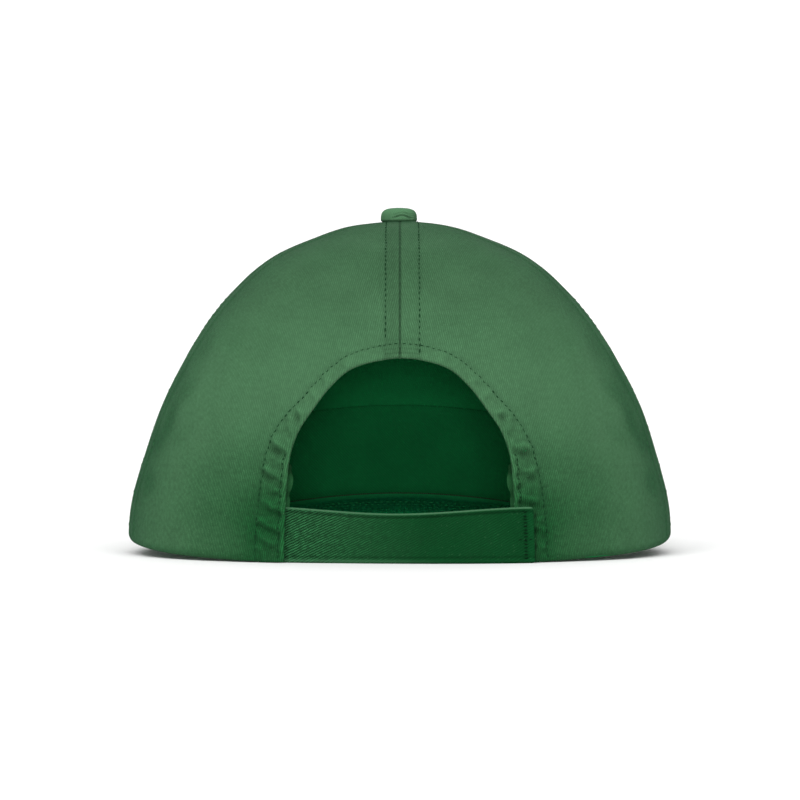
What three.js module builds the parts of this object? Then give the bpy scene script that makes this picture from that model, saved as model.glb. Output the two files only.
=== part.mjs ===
// Five panel cap with a curved peak, a covered button on top and a touch-fastening strap across the opening at
// the back. It stands on the bottom edge of its strap and on both sides of its peak, with the ground at z = 0.
// Units are millimetres and degrees. +Y points to the peak, +X to the wearer's right and +Z up.
import * as THREE from "three";

// Crown: a dome about the Z axis. Azimuth 0 is the forehead, 90 the right ear and 180 the back of the head.
const CROWN_WIDTH = 204.5; // across the outside of the rim
const CROWN_FRONT_REACH = 94; // from the axis to the forehead
const CROWN_BACK_REACH = 88; // from the axis to the back of the rim
const CROWN_HEIGHT = 124.3; // from the ground to the cloth under the button
const STANCE_ANGLE = 4; // slope of the rim above the ground, rising to the front
const RIM_BEND = 1.25; // how much later than evenly the rim rises towards the front, where 1 is even
const TOP_HOLE_RADIUS = 3.2; // where the panels leave room for the button's shank
const PANEL_CLOTH = 1.2;
const HEM_CLOTH = 2; // the back panels' folded edge round the opening
const FRONT_SEAM_ANGLE = 52; // azimuth of the seams between the front and side panels
const BACK_SEAM_ANGLE = 102; // azimuth of the seams between the side and back panels
const SEAM_GAP = 0.3; // between neighbouring edges
const LAYER_GAP = 0.45; // between cloths that lie on each other
const LEVEL_EDGE_SHARE = 0.08; // how far up the climb the rim's edge stays level

// Level sections of the crown at even steps from the rim to the top, as shares of its height and reaches.
// square is the exponent of the section's rounded outline, where 2 is an ellipse.
const CROWN_SECTIONS = [
  { height: 0, side: 1, front: 1, back: 1, square: 2.3 },
  { height: 0.155, side: 0.984, front: 0.992, back: 0.988, square: 2.27 },
  { height: 0.3, side: 0.936, front: 0.966, back: 0.953, square: 2.22 },
  { height: 0.44, side: 0.875, front: 0.923, back: 0.899, square: 2.17 },
  { height: 0.575, side: 0.791, front: 0.861, back: 0.822, square: 2.12 },
  { height: 0.7, side: 0.696, front: 0.778, back: 0.728, square: 2.08 },
  { height: 0.805, side: 0.584, front: 0.67, back: 0.616, square: 2.05 },
  { height: 0.89, side: 0.455, front: 0.534, back: 0.484, square: 2.02 },
  { height: 0.95, side: 0.29, front: 0.36, back: 0.315, square: 2 },
  { height: 0.985, side: 0.155, front: 0.19, back: 0.165, square: 2 },
  { height: 1, side: 0, front: 0, back: 0, square: 2 },
];

// Back opening: an arch seen from behind, cut up from the rim.
const ARCH_WIDTH = 83.4; // between its feet
const ARCH_HEIGHT = 73.1; // from the ground
const HEM_WIDTH_TOP = 5.2;
const HEM_WIDTH_FOOT = 10.2;
const HEM_FADE = 1.6; // how far the fold takes to thin out to one cloth

// The right half of the arch at even steps along its edge, from its foot to its top.
const ARCH_OUTLINE = [
  { across: 1, height: 0 },
  { across: 0.992, height: 0.13 },
  { across: 0.983, height: 0.26 },
  { across: 0.971, height: 0.39 },
  { across: 0.945, height: 0.52 },
  { across: 0.873, height: 0.641 },
  { across: 0.748, height: 0.75 },
  { across: 0.612, height: 0.853 },
  { across: 0.441, height: 0.942 },
  { across: 0.228, height: 0.985 },
  { across: 0, height: 1 },
];

// Peak: a curved board sewn to the rim over the forehead.
const PEAK_LENGTH = 68; // forwards from the forehead
const PEAK_THICKNESS = 3;
const PEAK_END_ANGLE = 62; // azimuth where its root meets the rim at each side
const PEAK_END_WIDTH = 3;
const PEAK_PITCH_ANGLE = 8; // how far its centre line slopes down
const PEAK_ARCH = 19; // how far its sides drop below its centre line
const PEAK_PRESSED = 0.3; // how far the lowest part of its edge is flattened on the ground
const PEAK_OUTLINE_SQUARE = 2.3; // exponent of the rounded outer edge
const PEAK_BLEND_ANGLE = 16; // azimuth over which the rim leaves the peak's curve at each side

// Sweatband: a strip inside the rim, from one side of the back opening round the forehead to the other.
const BAND_WIDTH = 36;
const BAND_CLOTH = 1;
const BAND_LIFT = 1.4; // its bottom edge above the rim
const BAND_END_ACROSS = 39.4; // where its ends show beside the opening
const BAND_STEP_LENGTH = 24; // how far from its ends it steps in, over the ends of the straps

// Strap and the tab under it, which fasten on each other across the opening.
const STRAP_WIDTH = 20;
const STRAP_CLOTH = 1.5;
const STRAP_SAG = 2.2; // how far its top edge dips at the middle
const STRAP_END_ACROSS = 47.8; // where it ends on the outside of the right back panel
const STRAP_ROOT_ACROSS = 52; // where it is sewn inside the left back panel
const STRAP_CLEAR_ANGLE = 3; // how far past the feet of the arch it starts to cross from outside to inside
const TAB_WIDTH = 17;
const TAB_CLOTH = 1.5;
const TAB_ROOT_ACROSS = 52; // where it is sewn inside the right back panel
const TAB_TIP_ACROSS = 14; // how far it reaches past the middle, under the strap

// Button: a cloth-covered cap on a shank, closed by a plate inside the crown.
const BUTTON_DIAMETER = 13.6;
const BUTTON_HEIGHT = 5.3;
const BUTTON_UNDERCUT = 0.5; // how far its rim curls in and down
const BUTTON_SHANK_RADIUS = 2;
const BUTTON_PLATE_RADIUS = 5;
const BUTTON_PLATE_THICKNESS = 0.8;

// Steps of the faceted surfaces.
const CROWN_ROWS = 15;
const FRONT_COLUMNS = 18;
const SIDE_COLUMNS = 9;
const BACK_COLUMNS = 13;
const BACK_GRADING = 1.5; // crowds the back panels' columns towards the opening
const PEAK_COLUMNS = 28;
const PEAK_ROWS = 6;
const BAND_COLUMNS = 62;
const STRIP_ROWS = 3;
const STRAP_COLUMNS = 26;
const TAB_COLUMNS = 16;
const BUTTON_SIDES = 24;
const SEARCH_STEPS = 40;

const COTTON = { color: 0x2f6a40, roughness: 0.95, metalness: 0 };
const STRAP_COTTON = { color: 0x164a27, roughness: 0.95, metalness: 0 };

const GROUND = 0;
const BACK = 180;
const { lerp, smoothstep, degToRad, radToDeg } = THREE.MathUtils;

// The value of one column of a table at a share of its length, on a smooth curve through its rows.
function columnAt(table, column, share) {
  const last = table.length - 1;
  const place = THREE.MathUtils.clamp(share, 0, 1) * last;
  const row = Math.min(Math.floor(place), last - 1);
  const value = (i) => table[THREE.MathUtils.clamp(i, 0, last)][column];
  const before = row > 0 ? value(row - 1) : 2 * value(0) - value(1);
  const after = row + 2 <= last ? value(row + 2) : 2 * value(last) - value(last - 1);
  const t = place - row;
  const startSlope = (value(row + 1) - before) / 2;
  const endSlope = (after - value(row)) / 2;
  const rise = value(row + 1) - value(row);
  return value(row) + t * (startSlope + t * (3 * rise - 2 * startSlope - endSlope
    + t * (startSlope + endSlope - 2 * rise)));
}

// The argument between low and high where a rising function reaches a target.
function solve(rising, target, low, high) {
  for (let step = 0; step < SEARCH_STEPS; step++) {
    const middle = (low + high) / 2;
    if (rising(middle) < target) low = middle;
    else high = middle;
  }
  return (low + high) / 2;
}

// The crown's outside at an azimuth and a climb, which goes from 0 at the ground to 1 at the top hole.
function crownSurface(azimuth, climb) {
  const reach = (column, full) =>
    TOP_HOLE_RADIUS + (full - TOP_HOLE_RADIUS) * columnAt(CROWN_SECTIONS, column, climb);
  const sine = Math.sin(degToRad(azimuth));
  const cosine = Math.cos(degToRad(azimuth));
  const side = reach("side", CROWN_WIDTH / 2);
  const ahead = cosine > 0 ? reach("front", CROWN_FRONT_REACH) : reach("back", CROWN_BACK_REACH);
  const power = columnAt(CROWN_SECTIONS, "square", climb);
  const radius = (Math.abs(sine / side) ** power + Math.abs(cosine / ahead) ** power) ** (-1 / power);
  const height = CROWN_HEIGHT * columnAt(CROWN_SECTIONS, "height", climb);
  return new THREE.Vector3(radius * sine, radius * cosine, height);
}

const climbAtHeight = (height) =>
  solve((climb) => CROWN_HEIGHT * columnAt(CROWN_SECTIONS, "height", climb), height, 0, 1);

// The crown's outward normal.
function crownNormal(azimuth, climb) {
  const turn = 0.5;
  const rise = 0.004;
  const low = Math.max(climb - rise, 0);
  const high = Math.min(climb + rise, 1);
  const across = crownSurface(azimuth + turn, climb).sub(crownSurface(azimuth - turn, climb));
  const up = crownSurface(azimuth, high).sub(crownSurface(azimuth, low));
  return up.cross(across).normalize();
}

// A point at a distance outside the crown's outer face, or inside it where the distance is negative.
// Near the rim it moves level, so that the rim's edge is square.
function besideCrown(azimuth, climb, distance) {
  const outwards = crownNormal(azimuth, climb);
  outwards.z *= smoothstep(climb - climbAtHeight(rimHeight(azimuth)), 0, LEVEL_EDGE_SHARE);
  return crownSurface(azimuth, climb).addScaledVector(outwards.normalize(), distance);
}

// The same at a height, moved level, so that an edge at one height stays flat.
function levelBesideCrown(azimuth, height, distance) {
  const outwards = crownNormal(azimuth, climbAtHeight(height)).setZ(0).normalize();
  return crownSurface(azimuth, climbAtHeight(height)).addScaledVector(outwards, distance);
}

// The azimuth on the right half of the back where the crown is a distance across from its middle plane.
const azimuthAcross = (across, climb) =>
  BACK - solve((turn) => crownSurface(BACK - turn, climb).x, across, 0, 90);

const peakRootEnd = crownSurface(PEAK_END_ANGLE, 0);
const peakHalfWidth = peakRootEnd.x + SEAM_GAP + PEAK_END_WIDTH;

// The peak's outer edge seen from above, from one end of the root to the other as turn goes from -1 to 1.
function peakEdge(turn) {
  const sine = Math.sin((turn * Math.PI) / 2);
  const cosine = Math.max(Math.cos((turn * Math.PI) / 2), 0);
  const rounded = (value) => Math.sign(value) * Math.abs(value) ** (2 / PEAK_OUTLINE_SQUARE);
  const front = CROWN_FRONT_REACH + PEAK_LENGTH;
  return { x: peakHalfWidth * rounded(sine), y: lerp(peakRootEnd.y, front, rounded(cosine)) };
}

// How far the peak's middle surface lies below its place at the forehead.
function peakDrop({ x, y }) {
  const slope = (y - CROWN_FRONT_REACH) * Math.tan(degToRad(PEAK_PITCH_ANGLE));
  return slope + PEAK_ARCH * (x / peakHalfWidth) ** 2;
}

// The lowest part of the peak's edge rests on the ground, which sets the height of the whole peak.
const edgeTurns = Array.from({ length: PEAK_COLUMNS + 1 }, (_, i) => 1 - (2 * i) / PEAK_COLUMNS);
const deepestDrop = Math.max(...edgeTurns.map((turn) => peakDrop(peakEdge(turn))));
const peakRootHeight = GROUND + PEAK_THICKNESS / 2 - PEAK_PRESSED + deepestDrop;
const peakHeight = (x, y) => peakRootHeight - peakDrop({ x, y });

// Height of the crown's bottom edge: it follows the peak over the forehead and a plain slope elsewhere.
function rimHeight(azimuth) {
  const foot = crownSurface(azimuth, 0);
  const turn = Math.abs(radToDeg(Math.atan2(foot.x, foot.y)));
  const ahead = foot.y / CROWN_BACK_REACH + 1;
  const plain = CROWN_BACK_REACH * Math.tan(degToRad(STANCE_ANGLE)) * Math.max(ahead, 0) ** RIM_BEND;
  const onPeak = 1 - smoothstep(turn, PEAK_END_ANGLE - PEAK_BLEND_ANGLE, PEAK_END_ANGLE + PEAK_BLEND_ANGLE);
  return lerp(plain, peakHeight(foot.x, foot.y), onPeak);
}

// Climb at a share of the way from the rim to the top.
const climbAbove = (azimuth, share) => lerp(climbAtHeight(rimHeight(azimuth)), 1, share);

// Azimuth of a panel's edge, set back from its seam by half the gap. side is +1 or -1, where the panel lies.
function panelEdge(seam, share, side) {
  const onSeam = crownSurface(seam, climbAbove(seam, share));
  const radius = Math.hypot(onSeam.x, onSeam.y);
  return seam + side * radToDeg(SEAM_GAP / 2 / radius);
}

// A closed wall of cloth. pointAt gives a point of its outside or inside at shares across and up it.
function clothGeometry(columns, rows, pointAt) {
  const positions = [];
  for (const face of ["outside", "inside"])
    for (let row = 0; row <= rows; row++)
      for (let column = 0; column <= columns; column++)
        positions.push(...pointAt(column / columns, row / rows, face).toArray());
  const inside = (columns + 1) * (rows + 1);
  const corner = (column, row) => row * (columns + 1) + column;
  const triangles = [];
  const addQuad = (a, b, c, d) => triangles.push(a, b, c, a, c, d);
  for (let row = 0; row < rows; row++)
    for (let column = 0; column < columns; column++) {
      const [a, b, c, d] = [
        corner(column, row), corner(column, row + 1), corner(column + 1, row + 1), corner(column + 1, row),
      ];
      addQuad(a, b, c, d);
      addQuad(a + inside, d + inside, c + inside, b + inside);
    }
  const border = [];
  for (let column = 0; column < columns; column++) border.push(corner(column, 0));
  for (let row = 0; row < rows; row++) border.push(corner(columns, row));
  for (let column = columns; column > 0; column--) border.push(corner(column, rows));
  for (let row = rows; row > 0; row--) border.push(corner(0, row));
  border.forEach((from, i) => {
    const to = border[(i + 1) % border.length];
    addQuad(from, to, to + inside, from + inside);
  });
  const geometry = new THREE.BufferGeometry();
  geometry.setAttribute("position", new THREE.Float32BufferAttribute(positions, 3));
  geometry.setIndex(triangles);
  geometry.computeVertexNormals();
  return geometry;
}

// The same wall on the other side of the cap.
const mirrored = (pointAt) => (across, up, face) => {
  const point = pointAt(1 - across, up, face);
  return point.setX(-point.x);
};

// A panel between two seams, from the rim to the top.
const plainPanel = (fromSeam, toSeam) => (across, up, face) => {
  const azimuth = lerp(panelEdge(fromSeam, up, 1), panelEdge(toSeam, up, -1), across);
  return besideCrown(azimuth, climbAbove(azimuth, up), face === "outside" ? 0 : -PANEL_CLOTH);
};

// The right back panel is laid out on a flat chart, where the way to the top is the way to the chart's middle.
const CHART_HOLE = 0.016; // radius of the top hole on the chart, whose rim has a radius of 1
function toChart(azimuth, share) {
  const radius = lerp(1, CHART_HOLE, share);
  return new THREE.Vector2(radius * Math.sin(degToRad(azimuth)), radius * Math.cos(degToRad(azimuth)));
}
function fromChart(place) {
  const azimuth = radToDeg(Math.atan2(place.x, place.y));
  return { azimuth, share: (1 - place.length()) / (1 - CHART_HOLE) };
}

// A point of the arch's edge on the chart, at a share of the way from its foot to its top.
function archEdge(share) {
  const across = (ARCH_WIDTH / 2) * columnAt(ARCH_OUTLINE, "across", share);
  const height = ARCH_HEIGHT * columnAt(ARCH_OUTLINE, "height", share);
  const footAzimuth = azimuthAcross(ARCH_WIDTH / 2, 0);
  const climb = climbAtHeight(Math.max(height, rimHeight(footAzimuth)));
  const azimuth = Math.min(azimuthAcross(across, climb), panelEdge(BACK, 0.5, -1));
  const rimClimb = climbAtHeight(rimHeight(azimuth));
  return toChart(azimuth, share === 0 ? 0 : (climb - rimClimb) / (1 - rimClimb));
}

// The panel fills the four-sided patch between the arch, the rim, the side seam and the middle seam.
// along goes from the rim to the middle seam, out from the arch to the side seam.
function backPanelPlace(along, out) {
  const tip = 1 - 1 / CROWN_ROWS; // beyond it the outer side runs round the top hole
  const sideSeam = along <= tip
    ? toChart(panelEdge(BACK_SEAM_ANGLE, along / tip, 1), along / tip)
    : toChart(lerp(panelEdge(BACK_SEAM_ANGLE, 1, 1), panelEdge(BACK, 1, -1), (along - tip) / (1 - tip)), 1);
  const foot = archEdge(0);
  const top = archEdge(1);
  const rimCorner = toChart(panelEdge(BACK_SEAM_ANGLE, 0, 1), 0);
  const tipCorner = toChart(panelEdge(BACK, 1, -1), 1);
  const rim = toChart(lerp(fromChart(foot).azimuth, panelEdge(BACK_SEAM_ANGLE, 0, 1), out), 0);
  const middleShare = lerp(fromChart(top).share, 1, out);
  const middleSeam = toChart(panelEdge(BACK, middleShare, -1), middleShare);
  const place = archEdge(along).multiplyScalar(1 - out).addScaledVector(sideSeam, out);
  place.addScaledVector(rim, 1 - along).addScaledVector(middleSeam, along);
  place.addScaledVector(foot, -(1 - along) * (1 - out)).addScaledVector(rimCorner, -(1 - along) * out);
  place.addScaledVector(top, -along * (1 - out)).addScaledVector(tipCorner, -along * out);
  return fromChart(place);
}

function backPanel(across, up, face) {
  const surfaceAt = ({ azimuth, share }) => crownSurface(azimuth, climbAbove(azimuth, share));
  const place = backPanelPlace(up, (1 - across) ** BACK_GRADING);
  const fromArch = surfaceAt(place).distanceTo(surfaceAt(backPanelPlace(up, 0)));
  const hemWidth = lerp(HEM_WIDTH_FOOT, HEM_WIDTH_TOP, smoothstep(up, 0, 1));
  const cloth = lerp(HEM_CLOTH, PANEL_CLOTH, smoothstep(fromArch, hemWidth, hemWidth + HEM_FADE));
  const climb = climbAbove(place.azimuth, place.share);
  return besideCrown(place.azimuth, climb, face === "outside" ? 0 : -cloth);
}

// The peak lies between the rim over the forehead and its own outer edge.
function peak(across, up, face) {
  const turn = 1 - 2 * across;
  const azimuth = PEAK_END_ANGLE * turn;
  const root = levelBesideCrown(azimuth, rimHeight(azimuth), SEAM_GAP);
  const edge = peakEdge(turn);
  const x = lerp(root.x, edge.x, up);
  const y = lerp(root.y, edge.y, up);
  const side = face === "outside" ? 1 : -1;
  const height = peakHeight(x, y) + (side * PEAK_THICKNESS) / 2;
  return new THREE.Vector3(x, y, Math.max(height, GROUND));
}

const bandEnd = azimuthAcross(BAND_END_ACROSS, climbAtHeight(BAND_WIDTH / 2));

// Depth of the sweatband's outside below the crown's outside. It lies on the panels and steps in at its ends.
function bandDepth(azimuth) {
  const onPanel = PANEL_CLOTH + LAYER_GAP;
  const overStrap = HEM_CLOTH + LAYER_GAP + Math.max(STRAP_CLOTH, TAB_CLOTH) + LAYER_GAP;
  const toEnd = degToRad(bandEnd - Math.abs(azimuth)) * CROWN_BACK_REACH;
  return lerp(overStrap, onPanel, smoothstep(toEnd, BAND_STEP_LENGTH * 0.7, BAND_STEP_LENGTH));
}

function sweatband(across, up, face) {
  const azimuth = lerp(-bandEnd, bandEnd, across);
  const height = rimHeight(azimuth) + lerp(BAND_LIFT, BAND_WIDTH, up);
  const depth = bandDepth(azimuth) + (face === "outside" ? 0 : BAND_CLOTH);
  return besideCrown(azimuth, climbAtHeight(height), -depth);
}

// How far the strap's inner face lies outside the crown's outer face, over the right panel, under the left one.
function strapOffset(azimuth) {
  const clear = azimuthAcross(ARCH_WIDTH / 2, 0) + STRAP_CLEAR_ANGLE;
  const over = LAYER_GAP;
  const under = -(HEM_CLOTH + LAYER_GAP + STRAP_CLOTH);
  return lerp(over, under, smoothstep(azimuth, clear, 2 * BACK - clear));
}

function strap(across, up, face) {
  const root = 2 * BACK - azimuthAcross(STRAP_ROOT_ACROSS, 0);
  const azimuth = lerp(azimuthAcross(STRAP_END_ACROSS, 0), root, across);
  const sag = STRAP_SAG * Math.sin(Math.PI * across) ** 2;
  const height = lerp(GROUND, STRAP_WIDTH - sag, up);
  return levelBesideCrown(azimuth, height, strapOffset(azimuth) + (face === "outside" ? STRAP_CLOTH : 0));
}

function strapTab(across, up, face) {
  const tip = 2 * BACK - azimuthAcross(TAB_TIP_ACROSS, 0);
  const azimuth = lerp(azimuthAcross(TAB_ROOT_ACROSS, 0), tip, across);
  const underPanel = -(HEM_CLOTH + LAYER_GAP);
  const outer = Math.min(underPanel, strapOffset(azimuth) - LAYER_GAP);
  const margin = (STRAP_WIDTH - STRAP_SAG - TAB_WIDTH) / 2 + rimHeight(azimuth);
  const height = lerp(margin, margin + TAB_WIDTH, up);
  return levelBesideCrown(azimuth, height, outer - (face === "outside" ? 0 : TAB_CLOTH));
}

// The button's half section, from the top of its cap down its shank to the plate inside.
function buttonProfile() {
  const radius = BUTTON_DIAMETER / 2;
  const edge = CROWN_HEIGHT + SEAM_GAP - BUTTON_UNDERCUT;
  const dome = edge + BUTTON_HEIGHT * 0.42; // where the cap's side turns into its domed top
  const plateTop = CROWN_HEIGHT - PANEL_CLOTH - SEAM_GAP;
  const profile = new THREE.Path();
  profile.moveTo(0, CROWN_HEIGHT + BUTTON_HEIGHT);
  const top = CROWN_HEIGHT + BUTTON_HEIGHT;
  profile.bezierCurveTo(radius * 0.6, top, radius, dome + BUTTON_HEIGHT * 0.4, radius, dome);
  profile.quadraticCurveTo(radius, edge, radius - BUTTON_UNDERCUT, edge);
  profile.lineTo(BUTTON_SHANK_RADIUS, CROWN_HEIGHT + SEAM_GAP);
  profile.lineTo(BUTTON_SHANK_RADIUS, plateTop);
  profile.lineTo(BUTTON_PLATE_RADIUS, plateTop - SEAM_GAP);
  profile.lineTo(BUTTON_PLATE_RADIUS, plateTop - SEAM_GAP - BUTTON_PLATE_THICKNESS);
  profile.lineTo(0, plateTop - SEAM_GAP - BUTTON_PLATE_THICKNESS);
  return profile.getPoints(5).reverse();
}

function piece(name, geometry, finish) {
  const mesh = new THREE.Mesh(geometry, new THREE.MeshStandardMaterial(finish));
  mesh.name = name;
  return mesh;
}

const cap = new THREE.Group();
const frontPanel = plainPanel(-FRONT_SEAM_ANGLE, FRONT_SEAM_ANGLE);
const sidePanel = plainPanel(FRONT_SEAM_ANGLE, BACK_SEAM_ANGLE);
cap.add(
  piece("front_panel", clothGeometry(FRONT_COLUMNS, CROWN_ROWS, frontPanel), COTTON),
  piece("side_panel_right", clothGeometry(SIDE_COLUMNS, CROWN_ROWS, sidePanel), COTTON),
  piece("side_panel_left", clothGeometry(SIDE_COLUMNS, CROWN_ROWS, mirrored(sidePanel)), COTTON),
  piece("back_panel_right", clothGeometry(BACK_COLUMNS, CROWN_ROWS, backPanel), COTTON),
  piece("back_panel_left", clothGeometry(BACK_COLUMNS, CROWN_ROWS, mirrored(backPanel)), COTTON),
  piece("peak", clothGeometry(PEAK_COLUMNS, PEAK_ROWS, peak), COTTON),
  piece("sweatband", clothGeometry(BAND_COLUMNS, STRIP_ROWS, sweatband), COTTON),
  piece("strap", clothGeometry(STRAP_COLUMNS, STRIP_ROWS, strap), STRAP_COTTON),
  piece("strap_tab", clothGeometry(TAB_COLUMNS, STRIP_ROWS, strapTab), STRAP_COTTON),
);
const buttonGeometry = new THREE.LatheGeometry(buttonProfile(), BUTTON_SIDES).rotateX(Math.PI / 2);
cap.add(piece("button", buttonGeometry, COTTON));

// The origin is under the middle of the whole cap, on the ground.
const middle = new THREE.Box3().setFromObject(cap).getCenter(new THREE.Vector3());
cap.position.set(-middle.x, -middle.y, 0);

export default cap;
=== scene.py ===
import math
import bmesh
import bpy
import numpy as np
from mathutils import Matrix, Vector


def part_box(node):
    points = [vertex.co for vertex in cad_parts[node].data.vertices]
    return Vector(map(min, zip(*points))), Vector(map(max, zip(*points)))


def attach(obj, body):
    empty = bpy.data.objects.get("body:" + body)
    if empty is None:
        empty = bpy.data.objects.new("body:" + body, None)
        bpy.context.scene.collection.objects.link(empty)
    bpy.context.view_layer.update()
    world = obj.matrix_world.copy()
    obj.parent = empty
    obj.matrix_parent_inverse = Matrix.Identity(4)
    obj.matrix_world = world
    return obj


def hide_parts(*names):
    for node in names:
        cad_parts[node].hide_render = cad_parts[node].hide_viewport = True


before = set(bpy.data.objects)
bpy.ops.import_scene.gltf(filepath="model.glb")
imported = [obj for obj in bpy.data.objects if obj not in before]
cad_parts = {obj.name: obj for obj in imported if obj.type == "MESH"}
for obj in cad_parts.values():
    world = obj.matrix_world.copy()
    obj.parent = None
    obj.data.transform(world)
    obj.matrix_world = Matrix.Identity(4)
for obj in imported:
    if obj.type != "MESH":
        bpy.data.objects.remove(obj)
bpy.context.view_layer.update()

# Five panel cap in brushed green twill, seen from behind. Sizes are millimetres until a mesh is written.
MM = 0.001

# Where the crown's upright axis stands, under the middle of the button.
button_low, button_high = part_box("button")
AXIS = np.array([(button_low[0] + button_high[0]) / 2, (button_low[1] + button_high[1]) / 2, 0]) / MM

# Crown, with azimuth 0 at the front, 90 on the right and 180 at the back.
CROWN_WIDTH = 204.5
CROWN_FRONT_REACH = 94
CROWN_BACK_REACH = 88
CROWN_HEIGHT = 124.3
STANCE = 4  # degrees by which the rim rises from the back towards the sides
RIM_BEND = 1.25
TOP_HOLE_RADIUS = 3.2
FRONT_SEAM = 52
BACK_SEAM = 102
BACK = 180
CROWN_SECTIONS = [
    dict(height=0, side=1, front=1, back=1, square=2.3),
    dict(height=0.155, side=0.984, front=0.992, back=0.988, square=2.27),
    dict(height=0.3, side=0.936, front=0.966, back=0.953, square=2.22),
    dict(height=0.44, side=0.875, front=0.923, back=0.899, square=2.17),
    dict(height=0.575, side=0.791, front=0.861, back=0.822, square=2.12),
    dict(height=0.7, side=0.696, front=0.778, back=0.728, square=2.08),
    dict(height=0.805, side=0.584, front=0.67, back=0.616, square=2.05),
    dict(height=0.89, side=0.455, front=0.534, back=0.484, square=2.02),
    dict(height=0.95, side=0.29, front=0.36, back=0.315, square=2),
    dict(height=0.985, side=0.155, front=0.19, back=0.165, square=2),
    dict(height=1, side=0, front=0, back=0, square=2),
]

# Back opening.
ARCH_WIDTH = 83.4
ARCH_HEIGHT = 73.1
ARCH_OUTLINE = [
    dict(across=1, height=0),
    dict(across=0.992, height=0.13),
    dict(across=0.983, height=0.26),
    dict(across=0.971, height=0.39),
    dict(across=0.945, height=0.52),
    dict(across=0.873, height=0.641),
    dict(across=0.748, height=0.75),
    dict(across=0.612, height=0.853),
    dict(across=0.441, height=0.942),
    dict(across=0.228, height=0.985),
    dict(across=0, height=1),
]
# How far the hem's outer row of stitches lies from the edge, in even steps from the arch's foot to its top.
HEM_ROWS = [
    dict(left=10.8, right=11.9),
    dict(left=10.6, right=11.5),
    dict(left=10.0, right=10.6),
    dict(left=8.9, right=8.7),
    dict(left=6.3, right=6.7),
    dict(left=5.7, right=5.8),
    dict(left=5.4, right=5.4),
    dict(left=5.4, right=5.4),
]

# Peak.
PEAK_LENGTH = 68
PEAK_THICKNESS = 3
PEAK_END = 62  # azimuth at which its root ends
PEAK_END_WIDTH = 3
PEAK_PITCH = 8
PEAK_ARCH = 19  # how much lower its sides are than its middle
PEAK_PRESSED = 0.3  # how much of its lowest edge is pressed flat by the table
PEAK_OUTLINE_SQUARE = 2.3
PEAK_BLEND = 16
PEAK_STITCH_ROWS = 6
PEAK_FIRST_ROW = 6
PEAK_ROW_STEP = 9
PEAK_RUN = 260  # length of cloth given to its stitch rows from end to end
PEAK_LIMP = 0.9  # how far its front edge hangs
PEAK_LIMP_REACH = 55

# Sweatband, strap and tab.
BAND_WIDTH = 36
BAND_CLOTH = 1
BAND_LIFT = 1.4  # how far the solid's lower edge stays above the rim
BAND_HANG = 0.9  # how much lower the cloth's edge hangs
BAND_END_ACROSS = 41.1
BAND_STEP_LENGTH = 24
BAND_SEWN_ROWS = (2.5, 31.5)
STRAP_WIDTH = 20
STRAP_CLOTH = 1.5
STRAP_SAG = 2.2  # how far its upper edge hangs in the middle
STRAP_END_ACROSS = 47.8
STRAP_ROOT_ACROSS = 52
STRAP_CLEAR_ANGLE = 3  # degrees past the arch's foot before it starts to dip under the left panel
STRAP_END_LIFT = 0.25
STRAP_TABLE_GAP = 0.02
TAB_WIDTH = 17
TAB_CLOTH = 1.5
TAB_ROOT_ACROSS = 52
TAB_TIP_ACROSS = 14
HEM_CLOTH = 2
PANEL_CLOTH = 1.2
LAYER_GAP = 0.45
SEAM_GAP = 0.3

# Sewing.
CLOTH = 0.7
FOLD_RADIUS = 0.85
FOLD_BACK = 8  # how far the hem's cloth runs back inside the arch
SEAM_ROW = 6.35
BACK_ROW_LEFT = 5.2
BACK_ROW_RIGHT = 7
HEM_INNER_ROW = 2.1
HEM_INNER_ROW_ENDS = (32, 42)
TAPE_LEFT = 5.4
TAPE_RIGHT = 6.9
TAPE_FOOT = 81
RIM_TUCK_LEFT = 1.9
RIM_TUCK_RIGHT = 2.4
RIM_TUCK_HEIGHT = 3.2
PUCKERED_WIDTH = 14  # how far behind the side seams the back panels are puckered
OUTLINE_TURN = 98  # azimuth of the crown's outline seen from behind
OUTLINE_SPREAD = 16
SEAM_SWELL = 0.45
HEM_SWELL = 0.5
STITCH_PITCH = 2.5
STITCH_LENGTH = 1.85
THREAD = 0.5
STITCH_TILT = 0.14
STITCH_STRAY = 0.12
SLOPE_STRETCH = 1.25  # the crown's cloth, roughly, for each millimetre of its height
SEAM_REACH = 30
CALM_TURN = 95  # azimuth round which the crown's broad waves are calm, to keep its outline smooth
CALM_SPREAD = 18

# The crown's seams: how far their stitch rows lie on the left and right half, the seed and strength of their
# puckers, how deep they are pressed and how much painted shade darkens their grooves.
SEAMS = [
    dict(azimuth=FRONT_SEAM, left=SEAM_ROW, right=SEAM_ROW, seed=11, pucker=0.1, depth=0.6, darker=0.3),
    dict(azimuth=BACK_SEAM, left=SEAM_ROW, right=SEAM_ROW, seed=12, pucker=0.08, depth=0.6, darker=0.3),
    dict(azimuth=BACK, left=BACK_ROW_LEFT, right=BACK_ROW_RIGHT, seed=13, pucker=0.05, depth=1, darker=1),
]

HALVINGS = 40
SAMPLES = 2001
SHARES = np.linspace(0, 1, SAMPLES)


def smoothstep(value, low, high):
    t = np.clip((value - low) / (high - low), 0, 1)
    return t * t * (3 - 2 * t)


def fading(value, low, high):
    """Goes smoothly from 1 at low to 0 at high."""
    return 1 - smoothstep(value, low, high)


def bump(value, width):
    """A smooth bell, 1 at 0 and nearly nothing past two widths."""
    return np.exp(-((value / width) ** 2))


def lerp(start, end, share):
    return start + (end - start) * share


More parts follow.
